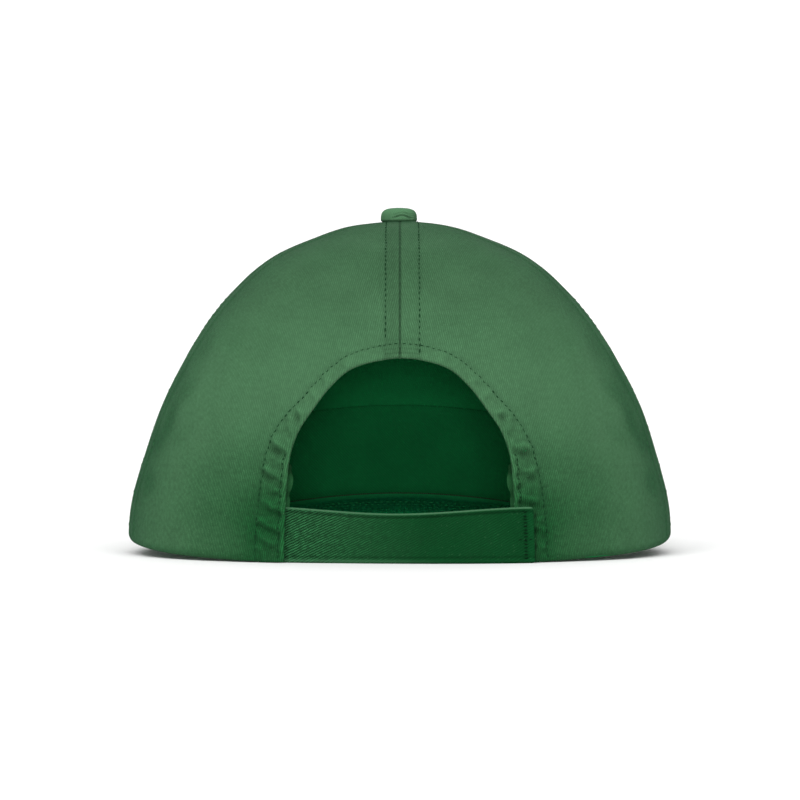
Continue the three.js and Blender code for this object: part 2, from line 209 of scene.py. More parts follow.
def curve_through(values):
    """A smooth curve through evenly spaced values, sampled at SHARES."""
    values = np.array(values, float)
    padded = np.concatenate([[2 * values[0] - values[1]], values, [2 * values[-1] - values[-2]]])
    place = SHARES * (len(values) - 1)
    row = np.minimum(place.astype(int), len(values) - 2)
    t = place - row
    start, end = padded[row + 1], padded[row + 2]
    start_slope = (end - padded[row]) / 2
    end_slope = (padded[row + 3] - start) / 2
    rise = end - start
    return start + t * (start_slope + t * (3 * rise - 2 * start_slope - end_slope
                                           + t * (start_slope + end_slope - 2 * rise)))


def column_curves(table):
    return {name: curve_through([row[name] for row in table]) for name in table[0]}


CROWN = column_curves(CROWN_SECTIONS)
ARCH = column_curves(ARCH_OUTLINE)
HEM = column_curves(HEM_ROWS)


def quarter_round(share):
    """Rises from 0 to 1 as a quarter circle does, steeply at first."""
    return np.sqrt(1 - (1 - np.clip(share, 0, 1)) ** 2)


def run_along(line):
    """Length along a line of points, from 0 at its start."""
    return np.concatenate([[0], np.cumsum(np.linalg.norm(np.diff(line, axis=0), axis=1))])


def points(x, y, z):
    return np.stack(np.broadcast_arrays(x, y, z), axis=-1).astype(float)


def unit(vectors):
    return vectors / np.linalg.norm(vectors, axis=-1, keepdims=True)


def waves(a, b, length, seed, count=7):
    """Smooth seeded unevenness, about -1 to 1, over two coordinates in millimetres."""
    rng = np.random.default_rng(seed)
    total = 0
    for _ in range(count):
        turn, phase = rng.uniform(0, 2 * math.pi, 2)
        size = length * rng.uniform(0.7, 1.6)
        total = total + np.sin((a * math.cos(turn) + b * math.sin(turn)) * 2 * math.pi / size + phase)
    return total / math.sqrt(count)


# The crown's plain surface

def crown_column(name, climb):
    return np.interp(climb, SHARES, CROWN[name])


def climb_at(height):
    return np.interp(height, CROWN_HEIGHT * CROWN["height"], SHARES)


def crown_surface(azimuth, climb):
    """A point of the crown. climb goes from 0 at the level of the table to 1 at the button."""
    azimuth, climb = np.broadcast_arrays(np.asarray(azimuth, float), np.asarray(climb, float))
    sine, cosine = np.sin(np.radians(azimuth)), np.cos(np.radians(azimuth))
    full = np.where(cosine > 0, CROWN_FRONT_REACH, CROWN_BACK_REACH)
    share = np.where(cosine > 0, crown_column("front", climb), crown_column("back", climb))
    ahead = TOP_HOLE_RADIUS + (full - TOP_HOLE_RADIUS) * share
    side = TOP_HOLE_RADIUS + (CROWN_WIDTH / 2 - TOP_HOLE_RADIUS) * crown_column("side", climb)
    power = crown_column("square", climb)
    radius = (np.abs(sine / side) ** power + np.abs(cosine / ahead) ** power) ** (-1 / power)
    return points(radius * sine, radius * cosine, CROWN_HEIGHT * crown_column("height", climb))


def crown_normal(azimuth, climb):
    turn, rise = 0.5, 0.004
    low, high = np.maximum(climb - rise, 0), np.minimum(climb + rise, 1)
    across = crown_surface(azimuth + turn, climb) - crown_surface(azimuth - turn, climb)
    return unit(np.cross(crown_surface(azimuth, high) - crown_surface(azimuth, low), across))


def azimuth_across(across, climb):
    """Azimuth on the right half of the back where the crown is a distance across from the middle plane."""
    low, high = np.zeros_like(across + climb), np.full_like(across + climb, 90.0)
    for _ in range(HALVINGS):
        middle = (low + high) / 2
        short = crown_surface(BACK - middle, climb)[..., 0] < across
        low, high = np.where(short, middle, low), np.where(short, high, middle)
    return BACK - (low + high) / 2


# The peak's plain surface and the rim, which follows it at the front

peak_root_end = crown_surface(PEAK_END, 0)
peak_half_width = peak_root_end[0] + SEAM_GAP + PEAK_END_WIDTH


def peak_edge(turn):
    sine, cosine = np.sin(turn * math.pi / 2), np.maximum(np.cos(turn * math.pi / 2), 0)
    power = 2 / PEAK_OUTLINE_SQUARE
    front = CROWN_FRONT_REACH + PEAK_LENGTH
    across = peak_half_width * np.sign(sine) * np.abs(sine) ** power
    return across, lerp(peak_root_end[1], front, cosine ** power)


def peak_drop(x, y):
    """How far the peak has sunk from its root's middle, by its pitch and its arch."""
    pitch = (y - CROWN_FRONT_REACH) * math.tan(math.radians(PEAK_PITCH))
    return pitch + PEAK_ARCH * (x / peak_half_width) ** 2


deepest_drop = peak_drop(*peak_edge(np.linspace(-1, 1, 29))).max()
peak_root_height = PEAK_THICKNESS / 2 - PEAK_PRESSED + deepest_drop


def peak_height(x, y):
    return peak_root_height - peak_drop(x, y)


def rim_height(azimuth):
    """Height of the crown's rim above the table."""
    foot = crown_surface(azimuth, 0)
    turn = np.abs(np.degrees(np.arctan2(foot[..., 0], foot[..., 1])))
    ahead = np.maximum(foot[..., 1] / CROWN_BACK_REACH + 1, 0)
    plain = CROWN_BACK_REACH * math.tan(math.radians(STANCE)) * ahead ** RIM_BEND
    on_peak = fading(turn, PEAK_END - PEAK_BLEND, PEAK_END + PEAK_BLEND)
    return lerp(plain, peak_height(foot[..., 0], foot[..., 1]), on_peak)


def climb_above(azimuth, share):
    """The climb that lies a share of the way from the rim to the button."""
    return lerp(climb_at(rim_height(azimuth)), 1, share)


# The back panels are laid out on a flat chart, between the arch, the rim and their two seams.
CHART_HOLE = 0.016  # radius on the chart of the hole under the button
PANEL_TIP = 1 - 1 / 15  # share of the outer side that follows the side seam; the rest goes round the hole


def to_chart(azimuth, share):
    radius = lerp(1, CHART_HOLE, share)
    return np.stack([radius * np.sin(np.radians(azimuth)), radius * np.cos(np.radians(azimuth))], axis=-1)


def from_chart(place):
    azimuth = np.degrees(np.arctan2(place[..., 0], place[..., 1]))
    return azimuth, np.clip((1 - np.linalg.norm(place, axis=-1)) / (1 - CHART_HOLE), 0, 1)


def arch_edge(share):
    """The arch's right edge on the chart, from its foot at the rim to its top."""
    across = ARCH_WIDTH / 2 * np.interp(share, SHARES, ARCH["across"])
    foot = rim_height(azimuth_across(np.array(ARCH_WIDTH / 2), np.array(0.0)))
    height = np.maximum(ARCH_HEIGHT * np.interp(share, SHARES, ARCH["height"]), foot)
    climb = climb_at(height)
    azimuth = azimuth_across(across, climb)
    rim_climb = climb_at(rim_height(azimuth))
    return to_chart(azimuth, np.where(share <= 0, 0, (climb - rim_climb) / (1 - rim_climb)))


def patch_place(along, out):
    """Azimuth and share on the right back panel. along goes up from the rim to the top, and out goes from the
    arch's edge to the side seam."""
    tip = np.clip((along - PANEL_TIP) / (1 - PANEL_TIP), 0, 1)
    side_seam = to_chart(lerp(BACK_SEAM, BACK, tip), np.minimum(along / PANEL_TIP, 1))
    corner_foot, corner_top = arch_edge(np.array([0.0, 1.0]))
    rim = to_chart(lerp(from_chart(corner_foot)[0], BACK_SEAM, out), 0)
    middle_seam = to_chart(BACK, lerp(from_chart(corner_top)[1], 1, out))
    rim_corner, tip_corner = to_chart(BACK_SEAM, 0), to_chart(BACK, 1)
    up, off = along[..., None], out[..., None]
    place = arch_edge(along) * (1 - off) + side_seam * off + rim * (1 - up) + middle_seam * up
    place = place - corner_foot * (1 - up) * (1 - off) - rim_corner * (1 - up) * off
    return from_chart(place - corner_top * up * (1 - off) - tip_corner * up * off)


def plain_point(azimuth, share):
    return crown_surface(azimuth, climb_above(azimuth, share))


# Relief of the cloth: swellings where it is doubled, grooves of the stitch rows, puckers and soft unevenness.
# Heights, distances and widths are millimetres, and shades are shares of the plain colour.

POINTS_AT_ONCE = 4000
arch_shares = np.linspace(0, 1, 300)
arch_line = plain_point(*from_chart(arch_edge(arch_shares)))
arch_run = run_along(arch_line)
ARCH_RUN = arch_run[-1]

# Dents pulled across the hem by its stitches: how far up the edge on either side, how deep, half their
# height, and where their middle lies and how far they reach, as shares of the way to the outer row.
HEM_DENTS = [
    dict(left=4.5, right=5.4, depth=0.3, half=1.2, middle=0.5, reach=0.5),
    dict(left=10.7, right=11.6, depth=0.7, half=1.2, middle=0.5, reach=0.55),
    dict(left=17.5, right=20.8, depth=0.8, half=1.4, middle=0.5, reach=0.5),
    dict(left=24.2, right=25.8, depth=0.6, half=1.0, middle=0.15, reach=0.3),
    dict(left=29.5, right=31.0, depth=0.85, half=1.2, middle=0.6, reach=0.4),
    dict(left=34.5, right=34.7, depth=0.5, half=1.2, middle=0.2, reach=0.25),
    dict(left=39.0, right=38.6, depth=1.1, half=1.3, middle=0.6, reach=0.5),
    dict(left=45.6, right=45.2, depth=0.3, half=1.1, middle=0.4, reach=0.3),
    dict(left=52.0, right=51.5, depth=0.8, half=1.1, middle=0.5, reach=0.28),
    dict(left=60.5, right=59.8, depth=0.25, half=1.2, middle=0.5, reach=0.4),
    dict(left=67.0, right=66.2, depth=0.4, half=1.1, middle=0.6, reach=0.35),
    dict(left=76.0, right=79.0, depth=0.3, half=1.3, middle=0.5, reach=0.4),
]


def from_arch(place):
    """Distance to the arch's edge and the length along it from its foot, for points of either back panel."""
    right = np.array(place)
    right[..., 0] = np.abs(right[..., 0])
    flat = right.reshape(-1, 3)
    nearest, spot = np.full(len(flat), 1e9), np.zeros(len(flat))
    for start in range(0, len(flat), POINTS_AT_ONCE):
        some = slice(start, start + POINTS_AT_ONCE)
        gaps = np.linalg.norm(flat[some, None] - arch_line[None], axis=2)
        nearest[some] = gaps.min(axis=1)
        spot[some] = arch_run[gaps.argmin(axis=1)]
    return nearest.reshape(place.shape[:-1]), spot.reshape(place.shape[:-1])


def outer_row(spot, left):
    """Distance from the arch's edge to the hem's outer row of stitches."""
    share = spot / ARCH_RUN
    return np.where(left, np.interp(share, SHARES, HEM["left"]), np.interp(share, SHARES, HEM["right"]))


def stitched(run):
    """1 where the thread dips into the cloth and 0 where it lies on it, along a row."""
    return 0.5 + 0.5 * np.cos(run * 2 * math.pi / STITCH_PITCH)


def seam_relief(distance, row, along, seed, pucker):
    """A seam's edge, its pressed allowance and its topstitch row, at a distance to one side of it."""
    swell = SEAM_SWELL * fading(distance, row - 0.2, row + 1.4)
    edge = 0.6 * bump(distance, 0.4)
    groove = (0.12 + 0.26 * stitched(along)) * bump(distance - row, 0.55)
    beside = bump(distance - row * 0.6, 5) * (1 - bump(distance, 0.8))
    return swell - edge - groove + pucker * waves(along, distance * 0.4, length=8, seed=seed) * beside


def beyond_seam(turn, seam, place):
    """Distance along the cloth past a seam, towards the back."""
    return np.radians(turn - seam) * np.linalg.norm(place[..., :2], axis=-1)


def side_puckers(height, behind):
    """Seeded unevenness of the back panels behind their side seams."""
    return waves(height * SLOPE_STRETCH, behind * 1.4, length=18, seed=14)


def crown_relief(azimuth, place):
    """How far the cloth stands out of the plain surface."""
    turn = np.abs(azimuth)
    x, y, height = place[..., 0], place[..., 1], place[..., 2]
    slope = height * SLOPE_STRETCH
    total = 0.3 * waves(x, slope, length=75, seed=3) + 0.12 * waves(y + x, slope, length=26, seed=4)
    total = total * (1 - 0.8 * bump(turn - CALM_TURN, CALM_SPREAD))
    from_button = smoothstep(np.hypot(x, y), 6, 26)
    for seam in SEAMS:
        distance = np.abs(beyond_seam(turn, seam["azimuth"], place))
        row = np.where(x < 0, seam["left"], seam["right"])
        part = seam_relief(distance, row, slope, seam["seed"], seam["pucker"]) * seam["depth"]
        total = total + np.where(distance < SEAM_REACH, part * lerp(0.45, 1, from_button), 0)
    behind = beyond_seam(turn, BACK_SEAM, place)
    puckered = bump(behind - PUCKERED_WIDTH, 7) * fading(height, 55, 85)
    return total + 0.12 * side_puckers(height, behind) * puckered


def hem_relief(place):
    """The hem's relief, and how much darker it is painted: painted shade in its dents and tape grooves, a
    painted highlight on the ridge above each dent, and painted light and shade over its crumples.
    """
    distance, spot = from_arch(place)
    left = place[..., 0] < 0
    row = outer_row(spot, left)
    swell = HEM_SWELL * fading(distance, row + 0.3, row + 1.6)
    groove = (0.14 + 0.3 * stitched(spot)) * bump(distance - row, 0.55)
    inner = (0.14 + 0.26 * stitched(spot)) * bump(distance - HEM_INNER_ROW, 0.5)
    inner = inner * fading(spot, *HEM_INNER_ROW_ENDS)
    inside = smoothstep(distance, 0.2, 1.6) * fading(distance, row * 0.8, row + 2.2)
    low = fading(spot, 0.42 * ARCH_RUN, 0.8 * ARCH_RUN)
    puff = 0.35 * lerp(0.35, 1, low) * inside
    dents, ridges = 0, 0
    for dent in HEM_DENTS:
        middle = np.where(left, dent["left"] + 0.35 * (distance - 4), dent["right"] - 0.25 * (distance - 4))
        depth = dent["depth"] * bump(distance / row - dent["middle"], dent["reach"])
        dents = dents + depth * bump(spot - middle, dent["half"])
        ridges = ridges + depth * bump(spot - middle - 1.8 * dent["half"], dent["half"])
    tape = 0.3 * (bump(distance - 1.7, 0.3) + bump(distance - 3.4, 0.3)) * on_tape(place[..., 0], spot)
    drag = 0.3 * waves(spot, distance * 0.3, length=8, seed=21) * low * bump(distance - row - 2.1, 3.5)
    crumple = waves(spot, distance * 0.6, length=4, seed=22) * inside
    rise = swell - groove - inner - tape + puff + (1.35 * ridges - 1.6 * dents) * inside + drag
    # Painted shade and highlight, following the dents, the ridges above them, the tape's grooves and the
    # crumples.
    darker = (0.27 * np.clip(dents, 0, 1) - 0.35 * np.clip(ridges, 0, 1)) * inside + 0.4 * tape
    return rise + lerp(0.16, 0.28, low) * crumple, darker - 0.09 * low * crumple


def on_tape(across, spot):
    """1 where the back seam's tape is sewn over the hem, at the top of the arch."""
    soft = 0.3
    wide = smoothstep(across, -TAPE_LEFT - soft, -TAPE_LEFT + soft)
    wide = wide * fading(across, TAPE_RIGHT - soft, TAPE_RIGHT + soft)
    return wide * smoothstep(spot, TAPE_FOOT - 3, TAPE_FOOT + 3)


def crown_painted_tone(azimuth, climb):
    """How light and how pale the crown's cloth is painted, and its painted highlight, which is nowhere. All
    of it
    is painted light: painted shade darkens it in its grooves and dents, and gives it a deeper green by the
    strap."""
    place = crown_surface(azimuth, climb)
    turn = np.abs(azimuth)
    left, height = place[..., 0] < 0, place[..., 2]
    shade = np.ones_like(turn)
    # Painted shade in the seams' grooves and along their edges, on the strip left of the back seam, and over
    # the top.
    for seam in SEAMS:
        distance = np.abs(beyond_seam(turn, seam["azimuth"], place))
        row = np.where(left, seam["left"], seam["right"])
        shade = shade - seam["darker"] * (0.1 * bump(distance - row, 0.7) + 0.3 * bump(distance, 0.4))
    shade = shade - 0.14 * left * bump(beyond_seam(turn, BACK, place) + 2.6, 2.6)
    shade = shade * lerp(1, 0.86, smoothstep(height, 72, 100))
    above_rim = height - rim_height(azimuth)
    behind = beyond_seam(turn, BACK_SEAM, place)
    # Paler higher up, a painted sheen; a deeper green and darker at the rim and beside the side seams, along
    # the crown's outline, painted shade.
    pale = lerp(0.85, 1, smoothstep(height, 20, 60)) - 0.2 * smoothstep(height, 95, 122)
    pale = pale * (1 - 0.5 * bump(behind, 18)) * lerp(0.6, 1, smoothstep(above_rim, 0.5, 4))
    shade = shade * lerp(0.92, 1, smoothstep(above_rim, 0.3, 2.5)) * (1 - 0.08 * bump(behind, 16))
    # Painted shade in a deep band behind the side seams, broken up by the same waves as the puckers there.
    pucker_waves = side_puckers(height, behind)
    pucker = bump(np.maximum(behind - PUCKERED_WIDTH + 2.5 * pucker_waves, 0), 10) * smoothstep(behind, -6, 2)
    pucker = pucker * bump(height - 42, 34)
    pale = pale - pucker * (0.4 - 0.07 * pucker_waves)
    shade = shade - pucker * (0.02 - 0.015 * pucker_waves)
    # On the back panels, the hem's painted light and shade, and a deeper green near the strap, painted shade.
    if (turn > BACK_SEAM).any():
        lighter, near_strap = hem_painted_tone(place)
        shade = shade + np.where(turn > BACK_SEAM, lighter, 0)
        pale = pale * (1 - np.where(turn > BACK_SEAM, near_strap, 0))
    return np.stack([shade, pale, 0 * pale], axis=-1)


def hem_painted_tone(place):
    """Painted light on the back panels' hem: a painted glint on its folded edge, painted shade in its rows
    and dents and the strap's painted shadow, and how much deeper their green is painted near the strap, where
    shade falls.
    """
    distance, spot = from_arch(place)
    across, height = place[..., 0], place[..., 2]
    edge = bump(distance - 0.5, 0.6) * fading(spot, 30, 50)
    glint = 0.28 + 0.4 * np.maximum(waves(spot, distance, length=9, seed=23), 0)
    rows = bump(distance - HEM_INNER_ROW, 0.6) * fading(spot, *HEM_INNER_ROW_ENDS)
    rows = rows + bump(distance - outer_row(spot, across < 0), 0.7)
    strap_shadow = bump(across - STRAP_END_ACROSS - 0.5, 0.6) * fading(height, 17, 20)
    beyond = np.maximum(np.abs(across) / 42 - 1, 0)
    near_strap = fading(np.hypot(beyond, height / 50), 0.2, 1.25)
    near_strap = near_strap * (1 - 0.3 * smoothstep(beyond, 0.2, 0.5) * fading(height, 8, 18))
    return glint * edge - 0.1 * rows - 0.45 * strap_shadow - hem_relief(place)[1], near_strap


def rim_tuck(azimuth, above_rim):
    """How far the cloth turns in towards the rim at the cap's sides."""
    turn = np.abs(azimuth)
    sides = smoothstep(turn, 60, 80) * fading(turn, 135, 150)
    depth = np.where(azimuth < 0, RIM_TUCK_LEFT, RIM_TUCK_RIGHT)
    return depth * sides * (1 - quarter_round(above_rim / RIM_TUCK_HEIGHT))


def side_flare(azimuth, height):
    """How far the crown bulges at its sides: low on the left and halfway up on the right."""
    low_left = 0.3 * bump(azimuth + OUTLINE_TURN, OUTLINE_SPREAD) * fading(height, 8, 40)
    return low_left + 0.8 * bump(azimuth - OUTLINE_TURN, OUTLINE_SPREAD) * bump(height - 58, 30)


def cloth_point(azimuth, climb, lift=0.0):
    """A point of the cloth's outer face, or a distance above it."""
    plain = crown_surface(azimuth, climb)
    out = crown_normal(azimuth, climb)
    above_rim = plain[..., 2] - rim_height(azimuth)
    rise = crown_relief(azimuth, plain)
    if (np.abs(azimuth) > BACK_SEAM).any():
        rise = rise + np.where(np.abs(azimuth) > BACK_SEAM, hem_relief(plain)[0], 0)
    out[..., 2] *= smoothstep(above_rim, 0, 8)
    stand = rise * smoothstep(above_rim, -2, 6) + lift + side_flare(azimuth, plain[..., 2])
    return plain + unit(out) * (stand - rim_tuck(azimuth, above_rim))[..., None]


# Building meshes

def new_object(name, data):
    made = bpy.data.objects.new(name, data)
    bpy.context.scene.collection.objects.link(made)
    return made


def new_mesh(name, bm):
    mesh = bpy.data.meshes.new(name)
    bm.to_mesh(mesh)
    bm.free()
    return mesh


def smooth_object(name, mesh, *materials):
    for material in materials:
        mesh.materials.append(material)
    mesh.polygons.foreach_set("use_smooth", [True] * len(mesh.polygons))
    return new_object(name, mesh)


def finish_piece(name, mesh, slot, nodes, *materials):
    """Turns a finished mesh into a piece of the cap, which stands for the named CAD solids."""
    piece = smooth_object(name, mesh, *materials)
    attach(piece, "root")
    if nodes:
        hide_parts(*nodes)
    return piece


def graded(t, ends=0.3):
    """Even steps made finer at both ends."""
    return t - (1 - ends) * np.sin(2 * math.pi * t) / (2 * math.pi)


def placed_grid(name, columns, rows, place):
    """A grid whose corners are moved to place(across, up), which also gives flat coordinates of its cloth and
    its painted tone: how light or dark it is painted, how pale, and how much a painted highlight whitens it."""
    bm = bmesh.new()
    bmesh.ops.create_grid(bm, x_segments=columns, y_segments=rows, size=0.5)
    mesh = new_mesh(name, bm)
    corners = np.empty(len(mesh.vertices) * 3)
    mesh.vertices.foreach_get("co", corners)
    corners = corners.reshape(-1, 3)
    spots, cloth, painted_tones = place(corners[:, 0] + 0.5, corners[:, 1] + 0.5)
    mesh.vertices.foreach_set("co", ((spots + AXIS) * MM).ravel())
    owner = np.empty(len(mesh.loops), int)
    mesh.loops.foreach_get("vertex_index", owner)
    mesh.uv_layers.new(name="Cloth").data.foreach_set("uv", (cloth[owner] * MM).ravel())
    painted_tone = np.array(np.broadcast_to(painted_tones, (len(spots), 3)), float)
    # The painted tone is painted light and shade, stored on the mesh for the cloth's finish to read.
    mesh.attributes.new("Painted_tone", "FLOAT_VECTOR", "POINT").data.foreach_set("vector", painted_tone.ravel())
    mesh.update()
    return mesh


def close_mesh(mesh):
    """Merges the edges that a grid was rolled up to, and points its faces outwards."""
    bm = bmesh.new()
    bm.from_mesh(mesh)
    bmesh.ops.remove_doubles(bm, verts=bm.verts, dist=MERGE_DISTANCE)
    bmesh.ops.recalc_face_normals(bm, faces=bm.faces)
    bm.to_mesh(mesh)
    bm.free()


def panel_piece(node, columns, rows, place):
    """A panel of the crown: one sheet with its wall inwards, whose inner side shows the cloth's back in a
    brighter green, painted light for the shade inside the crown.
    """
    mesh = placed_grid(node + "_cloth", columns, rows, place)
    piece = finish_piece(node + "_cloth", mesh, "crown_twill", [node], crown_twill, crown_inside)
    wall = piece.modifiers.new("wall", "SOLIDIFY")
    wall.thickness = CLOTH * MM
    wall.offset = -1
    wall.material_offset = 1
    return piece


def mirrored(place):
    """The same sheet on the other side of the cap."""
    return lambda across, up: place(1 - across, up, -1)


MERIDIAN = 135.0  # azimuth of the line on which the cloth's length up the crown is measured
meridian_run = run_along(crown_surface(np.full(SAMPLES, MERIDIAN), SHARES))


def cloth_grain(azimuth, climb, middle):
    """Flat coordinates of a panel's cloth, with its grain along the panel's middle line."""
    radius = np.linalg.norm(crown_surface(azimuth, climb)[..., :2], axis=-1)
    return np.stack([np.radians(middle - azimuth) * radius, np.interp(climb, SHARES, meridian_run)], axis=-1)


PANEL_RUN = 120  # length that a panel's grid counts from the rim to the button


def panel_place(from_seam, to_seam):
    """A panel between two seams. Its grid's sides lie on the seams and its foot is rolled in at the rim."""
    def place(across, up, mirror=1):
        azimuth = mirror * lerp(to_seam, from_seam, graded(across))
        run = graded(up) * PANEL_RUN
        climb = climb_above(azimuth, np.maximum(run - FOLD_RADIUS, 0) / (PANEL_RUN - FOLD_RADIUS))
        depth = FOLD_RADIUS * (1 - np.sin(np.clip(run / FOLD_RADIUS, 0, 1) * math.pi / 2))
        middle = mirror * (from_seam + to_seam) / 2
        grain = cloth_grain(azimuth, climb, middle)
        return cloth_point(azimuth, climb, -depth), grain, crown_painted_tone(azimuth, climb)
    return place


def patch_scale(along):
    """Length of a whole step of out beside the arch's edge."""
    step = 0.02
    start = plain_point(*patch_place(along, np.zeros_like(along)))
    end = plain_point(*patch_place(along, np.full_like(along, step)))
    return np.linalg.norm(end - start, axis=-1) / step


FOLD_COLUMNS = 26  # columns of the grid that are folded back inside the arch
BACK_COLUMNS = 170
BACK_ROWS = 190
MERGE_DISTANCE = 0.01 * MM


def back_place(across, up, mirror=1):
    """The right back panel, whose cloth runs over the arch's edge and is folded back inside."""
    along = graded(up, 0.45)
    scale = patch_scale(along)
    column = across * BACK_COLUMNS
    quarter = FOLD_RADIUS * math.pi / 2
    outer = np.clip((column - FOLD_COLUMNS) / (BACK_COLUMNS - FOLD_COLUMNS), 0, 1)
    inner = np.clip((FOLD_COLUMNS - column) / FOLD_COLUMNS, 0, 1)
    roll = graded(outer, 0.25) * (scale + quarter - FOLD_RADIUS) - inner ** 1.6 * (FOLD_BACK + quarter)
    angle = np.clip(np.abs(roll) / FOLD_RADIUS, 0, math.pi / 2)
    reach = FOLD_RADIUS * (1 - np.cos(angle)) + np.maximum(np.abs(roll) - quarter, 0)
    depth = FOLD_RADIUS * (1 - np.sign(roll) * np.sin(angle))
    azimuth, share = patch_place(along, np.clip(reach / scale, 0, 1))
    climb = climb_above(azimuth, share)
    near_rim = (plain_point(azimuth, share)[..., 2] - rim_height(azimuth)) / FOLD_RADIUS
    rim_roll = FOLD_RADIUS * (1 - quarter_round(near_rim))
    depth = np.where(roll >= 0, np.maximum(depth, rim_roll), depth)
    grain = cloth_grain(azimuth, climb, BACK)
    grain[..., 0] *= -1
    return cloth_point(mirror * azimuth, climb, -depth), grain, crown_painted_tone(mirror * azimuth, climb)


def rolled_section(around, width, thickness):
    """Height up a strip and depth from its middle, going once round its section with half-round edges."""
    half = thickness / 2
    face, edge = 0.36, 0.14
    ends = np.cumsum([0, face, edge, face, edge])
    height = np.interp(around, ends, [0, 1, 1, 0, 0])
    turn = np.interp(around, ends, [0, 0, 1, 1, 2]) * math.pi
    return half + height * (width - 2 * half) + half * np.sin(turn), half * np.cos(turn)


def even_tone(run, height):
    """The painted tone of a strip that is the same all over: neither lightened nor darkened, mostly pale and
    with no painted highlight.
    """
    return np.array([1.0, 0.8, 0.0])


def strip_piece(node, columns, rows, place, length, width, thickness, corners, slot, material,
                painted_tone=even_tone):
    """A flat strip with rolled edges. place(across, height share, depth) puts it on the cap, width is a
    number or goes by the share across, and corners are the radii of its two ends' rounded corners."""
    def placed(across, around):
        run = graded(across, 0.5) * length
        wide = width(run / length) if callable(width) else np.full_like(run, float(width))
        to_end = np.minimum(run, length - run)
        corner = np.where(run < length / 2, corners[0], corners[1])
        inset = corner * (1 - quarter_round(to_end / corner))
        height, depth = rolled_section(around, wide, thickness)
        height = inset + height * (wide - 2 * inset) / wide
        spots = place(run / length, height / wide, depth * quarter_round(to_end / (thickness / 2)))
        return spots, np.stack([-run, height], axis=-1), painted_tone(run, height)
    mesh = placed_grid(node + "_cloth", columns, rows, placed)
    close_mesh(mesh)
    return finish_piece(node + "_cloth", mesh, slot, [node], material)


def level_beside(azimuth, height, distance):
    """A point at a level distance outside the crown's plain surface."""
    climb = climb_at(height)
    out = crown_normal(azimuth, climb)
    out[..., 2] = 0
    return crown_surface(azimuth, climb) + unit(out) * np.asarray(distance)[..., None]


def foot_azimuth(across):
    """Azimuth at which the crown's foot is a distance across from the middle plane."""
    return float(azimuth_across(np.array(float(across)), np.array(0.0)))


# The strap and its tab

STRAP_CLEAR = foot_azimuth(ARCH_WIDTH / 2) + STRAP_CLEAR_ANGLE
STRAP_FREE_END = foot_azimuth(STRAP_END_ACROSS)
STRAP_ROOT = 2 * BACK - foot_azimuth(STRAP_ROOT_ACROSS)
STRAP_LENGTH = 101.5
STRAP_MIDDLE_WIDTH = STRAP_WIDTH - STRAP_SAG
STRAP_EDGE_ROW = 1.9
STRAP_END_ROW = 3.4


def strap_offset(azimuth):
    """How far the strap's inner face lies outside the crown: over the right panel, under the left one."""
    under = -(HEM_CLOTH + LAYER_GAP + STRAP_CLOTH)
    return lerp(LAYER_GAP, under, smoothstep(azimuth, STRAP_CLEAR, 2 * BACK - STRAP_CLEAR))


def strap_relief(run, height):
    """Rolled edges, sewn rows and the puckers between them."""
    to_edge = np.minimum(height, STRAP_MIDDLE_WIDTH - height)
    along_row = (0.12 + 0.16 * stitched(run)) * bump(to_edge - STRAP_EDGE_ROW, 0.4)
    roll = 0.3 * bump(to_edge - 0.7, 0.6)
    end_row = 0.3 * bump(run - STRAP_END_ROW, 0.9)
    end_fold = 0.2 * fading(run, STRAP_END_ROW, STRAP_END_ROW + 1)
    gathers = 0.07 * waves(run, height * 0.5, length=5, seed=32) * bump(to_edge - 2.2, 1.5)
    return roll + end_fold - along_row - end_row + 0.16 * waves(run, height, length=24, seed=31) + gathers


def strap_width(across):
    """The strap's height from edge to edge: its top sags towards its middle."""
    return STRAP_WIDTH - STRAP_SAG * np.sin(math.pi * across) ** 2


def strap_painted_tone(run, height):
    """Painted light: painted highlights on its rolled edges and folded free end, a painted shade line under
    its top edge and along its lower row, and paler towards its sewn end on the left, where more light falls.
    """
    wide = strap_width(run / STRAP_LENGTH)
    up = height * wide / STRAP_MIDDLE_WIDTH
    shade = 1 - 0.35 * bump(wide - up - 1.45, 0.4) - 0.2 * bump(up - 2.2, 0.4)
    shade = shade + 0.2 * fading(run, STRAP_END_ROW - 1.6, STRAP_END_ROW - 0.8)
    top = 1.1 * fading(wide - up, 0.25, 0.75)
    foot = fading(up, 0.9, 1.6) * smoothstep(run, 25, 70)
    return np.stack([shade, smoothstep(run, 32, 92), np.maximum(top, 0.35 * foot)], axis=-1)


def strap_place(across, share, depth, relief=True):
    """A point of the strap, which runs from its free end on the right to its root on the left."""
    azimuth = lerp(STRAP_FREE_END, STRAP_ROOT, across)
    outside = np.clip(depth / (STRAP_CLOTH / 2), 0, 1)
    if relief:
        depth = depth + strap_relief(across * STRAP_LENGTH, share * STRAP_MIDDLE_WIDTH) * outside
    lifted = STRAP_END_LIFT * bump(across * STRAP_LENGTH, 5)
    height = np.maximum(share * strap_width(across), STRAP_TABLE_GAP)
    return level_beside(azimuth, height, strap_offset(azimuth) + STRAP_CLOTH / 2 + depth + lifted)


TAB_ROOT = foot_azimuth(TAB_ROOT_ACROSS)
TAB_TIP = 2 * BACK - foot_azimuth(TAB_TIP_ACROSS)
TAB_LENGTH = 68


def tab_place(across, share, depth):
    """A point of the tab, which lies behind the strap and runs from its root on the right to its tip."""
    azimuth = lerp(TAB_ROOT, TAB_TIP, across)
    outer = np.minimum(-(HEM_CLOTH + LAYER_GAP), strap_offset(azimuth) - LAYER_GAP)
    margin = (STRAP_MIDDLE_WIDTH - TAB_WIDTH) / 2 + rim_height(azimuth)
    return level_beside(azimuth, margin + share * TAB_WIDTH, outer - TAB_CLOTH / 2 + depth)


# The sweatband

